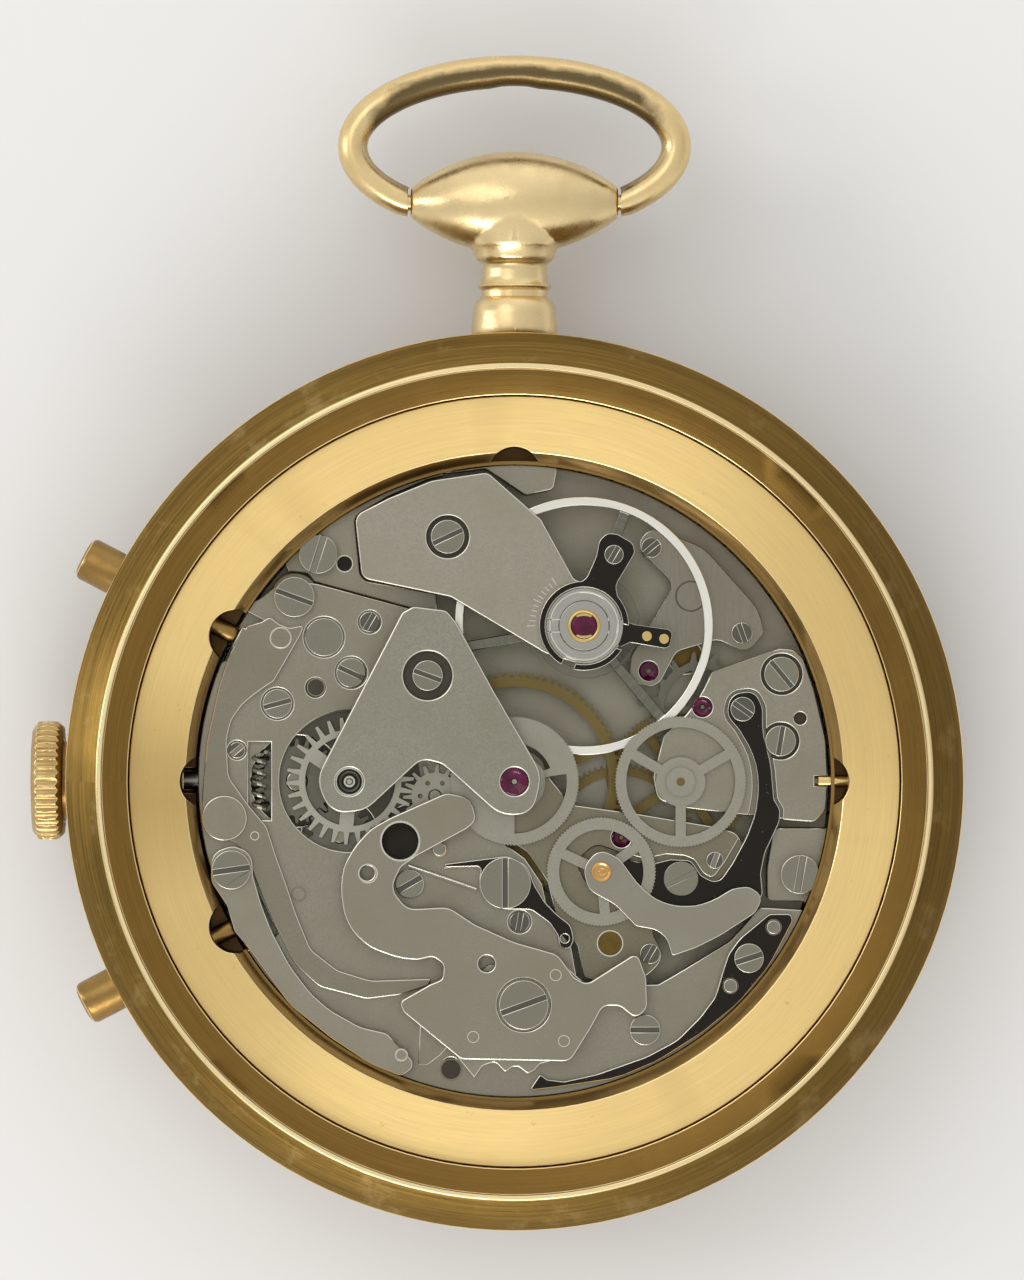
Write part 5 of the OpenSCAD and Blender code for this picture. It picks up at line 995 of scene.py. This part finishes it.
def index_lines():
    """The bright rim of the index disc, the two lips of its slot and its two small square nibs."""
    lip = (-1.64, -0.86, 0.035)
    nib = (0.98, 1.2, 0.08)
    x, y = BALANCE
    z = height("regulator", x + 1.4, y)
    bm = bmesh.new()
    ring_line(bm, BALANCE, 1.66, z, 0.07, 0.03)
    for side in (-1, 1):
        mid = y + side * 0.3
        for start, end, half_w in (lip, nib):
            outline = [(x + start, mid - half_w), (x + end, mid - half_w),
                       (x + end, mid + half_w), (x + start, mid + half_w)]
            block(bm, outline, z - 0.02, z + 0.03)
    made("index_lines", bm, "regulator", "edge")


def coupling_bush():
    """The copper bush of the coupling wheel."""
    z = height("coupling_clutch", COUPLING[0] + 0.35, COUPLING[1])
    bm = bmesh.new()
    turned(bm, [(0, z + 0.02), (0.1, z + 0.02), (0.14, z - 0.01), (0.3, z - 0.02), (0.42, z + 0.04),
                (0.48, z + 0.03), (0.5, z - 0.05), (0, z - 0.05)], COUPLING, 48)
    made("coupling_bush", bm, "coupling_clutch", "copper")


def ring_lip():
    """A strip of gold with painted shade that closes the slit between plate and ring, all round but beside the
    crown.
    """
    first, last, steps = 212, 508, 148
    inner, outer, low, high = 15.4, 15.565, 7.88, 7.96
    section = ((inner, low), (outer, low), (outer, high), (inner, high))
    bm = bmesh.new()
    rows = []
    for k in range(steps + 1):
        a = math.radians(first + (last - first) * k / steps)
        rows.append([bm.verts.new((*polar((0, 0), radius, a), z)) for radius, z in section])
    for a, b in zip(rows, rows[1:]):
        for k in range(4):
            bm.faces.new((a[k], b[k], b[(k + 1) % 4], a[(k + 1) % 4]))
    bm.faces.new(rows[0])
    bm.faces.new(rows[-1][::-1])
    # painted shade on the strip
    made("ring_lip", bm, "movement_ring", "wall")


def wire(name, points, radius):
    """A drawn wire through points in mm, one of the lever springs."""
    data = bpy.data.curves.new(name, "CURVE")
    data.dimensions = "3D"
    data.bevel_depth = radius * MM
    data.bevel_resolution = 3
    data.use_fill_caps = True
    line = data.splines.new("POLY")
    line.points.add(len(points) - 1)
    for curve_point, point in zip(line.points, points):
        curve_point.co = (*[c * MM for c in point], 1)
    tube = bpy.data.objects.new(name, data)
    bpy.context.scene.collection.objects.link(tube)
    mesh = bpy.data.meshes.new_from_object(tube.evaluated_get(bpy.context.evaluated_depsgraph_get()))
    bpy.data.objects.remove(tube)
    piece(name, smooth(mesh, angle=50), "lever_springs", "edge")


def wires():
    """The bright wires that press on the blocking lever and the cam."""
    z = Z_DECK + 0.03
    wire("brake_wire", [(-3.43, -4.23, z), (-1.8, -3.98, z), (-0.9, -3.8, z), (-0.55, -3.78, z)], 0.05)
    wire("cam_wire", [(-5.15, -4.08, z + 0.22), (-1.85, -5.23, z + 0.22)], 0.06)


dress_all()
bow()
balance()
paint_nodes()
jewels()
minute_bush()
index_marks()
index_lines()
shock_spring()
small_marks()
sunk_marks()
coupling_bush()
ring_lip()
wires()


# Stage, light and camera

def stage():
    """A wide pale floor, a hair below the watch."""
    reach = 3.0
    mesh = bpy.data.meshes.new("floor")
    corners = [(-reach, -reach, 0), (reach, -reach, 0), (reach, reach, 0), (-reach, reach, 0)]
    mesh.from_pydata(corners, [], [(0, 1, 2, 3)])
    floor = bpy.data.objects.new("floor", mesh)
    bpy.context.scene.collection.objects.link(floor)
    floor.location.z = -0.02 * MM
    floor.data.materials.append(Nodes("floor").finish((0.8, 0.79, 0.77), 0.8, metal=0.0))


def lamp(name, at, size, watts, color=(1, 1, 1)):
    """A rectangular lamp that shines at the watch."""
    data = bpy.data.lights.new(name, "AREA")
    data.shape = "RECTANGLE"
    data.size, data.size_y = size
    data.energy = watts
    data.color = color
    obj = bpy.data.objects.new(name, data)
    bpy.context.scene.collection.objects.link(obj)
    obj.location = at
    obj.rotation_mode = "QUATERNION"
    obj.rotation_quaternion = (-Vector(at)).to_track_quat("-Z", "Y")


def tent():
    """A soft tent of light all round, brighter before and behind the watch than at its sides."""
    overhead, before, beside = 0.78, 1.15, 0.6
    world = bpy.data.worlds.new("studio")
    bpy.context.scene.world = world
    world.use_nodes = True
    tree = world.node_tree
    background = tree.nodes["Background"]
    background.inputs[0].default_value = (1, 1, 1, 1)

    def node(operation, a, b):
        new = tree.nodes.new("ShaderNodeMath")
        new.operation = operation
        for socket, value in zip(new.inputs, (a, b)):
            if isinstance(value, bpy.types.NodeSocket):
                tree.links.new(value, socket)
            else:
                socket.default_value = value
        return new.outputs[0]

    coords = tree.nodes.new("ShaderNodeTexCoord")
    parts = tree.nodes.new("ShaderNodeSeparateXYZ")
    tree.links.new(coords.outputs["Generated"], parts.inputs[0])
    x, y = parts.outputs[0], parts.outputs[1]
    gain = node("MULTIPLY", node("MULTIPLY", y, y), before - overhead)
    loss = node("MULTIPLY", node("MULTIPLY", x, x), beside - overhead)
    tree.links.new(node("ADD", node("ADD", gain, loss), overhead), background.inputs[1])


def lamps():
    """Three weak lamps: one high beside the crown, one before the watch and one low at the crown's side."""
    warm = (1, 0.98, 0.95)
    lamp("key", (-0.2, 0.2, 0.42), (0.3, 0.3), 0.25, warm)
    lamp("low", (-0.1, -0.4, 0.28), (0.34, 0.14), 0.7, warm)
    lamp("side", (-0.42, 0.06, 0.14), (0.1, 0.3), 0.3)


def camera():
    """Looks straight down from afar, so that its frame is the photo's: frame_h metres high at the height of
    the bridges, about the point that is at the middle of the photo."""
    distance, frame_h, sensor = 0.42, 0.06208, 36
    middle_x, middle_y, bridges_z = -0.121 * MM, 6.863 * MM, 9 * MM
    data = bpy.data.cameras.new("camera")
    data.sensor_width = sensor
    data.lens = sensor * distance / frame_h
    data.clip_start = 0.01
    data.clip_end = 10
    obj = bpy.data.objects.new("camera", data)
    bpy.context.scene.collection.objects.link(obj)
    obj.location = (middle_x, middle_y, bridges_z + distance)
    bpy.context.scene.camera = obj


stage()
tent()
lamps()
camera()
bpy.context.scene.view_settings.view_transform = "Standard"
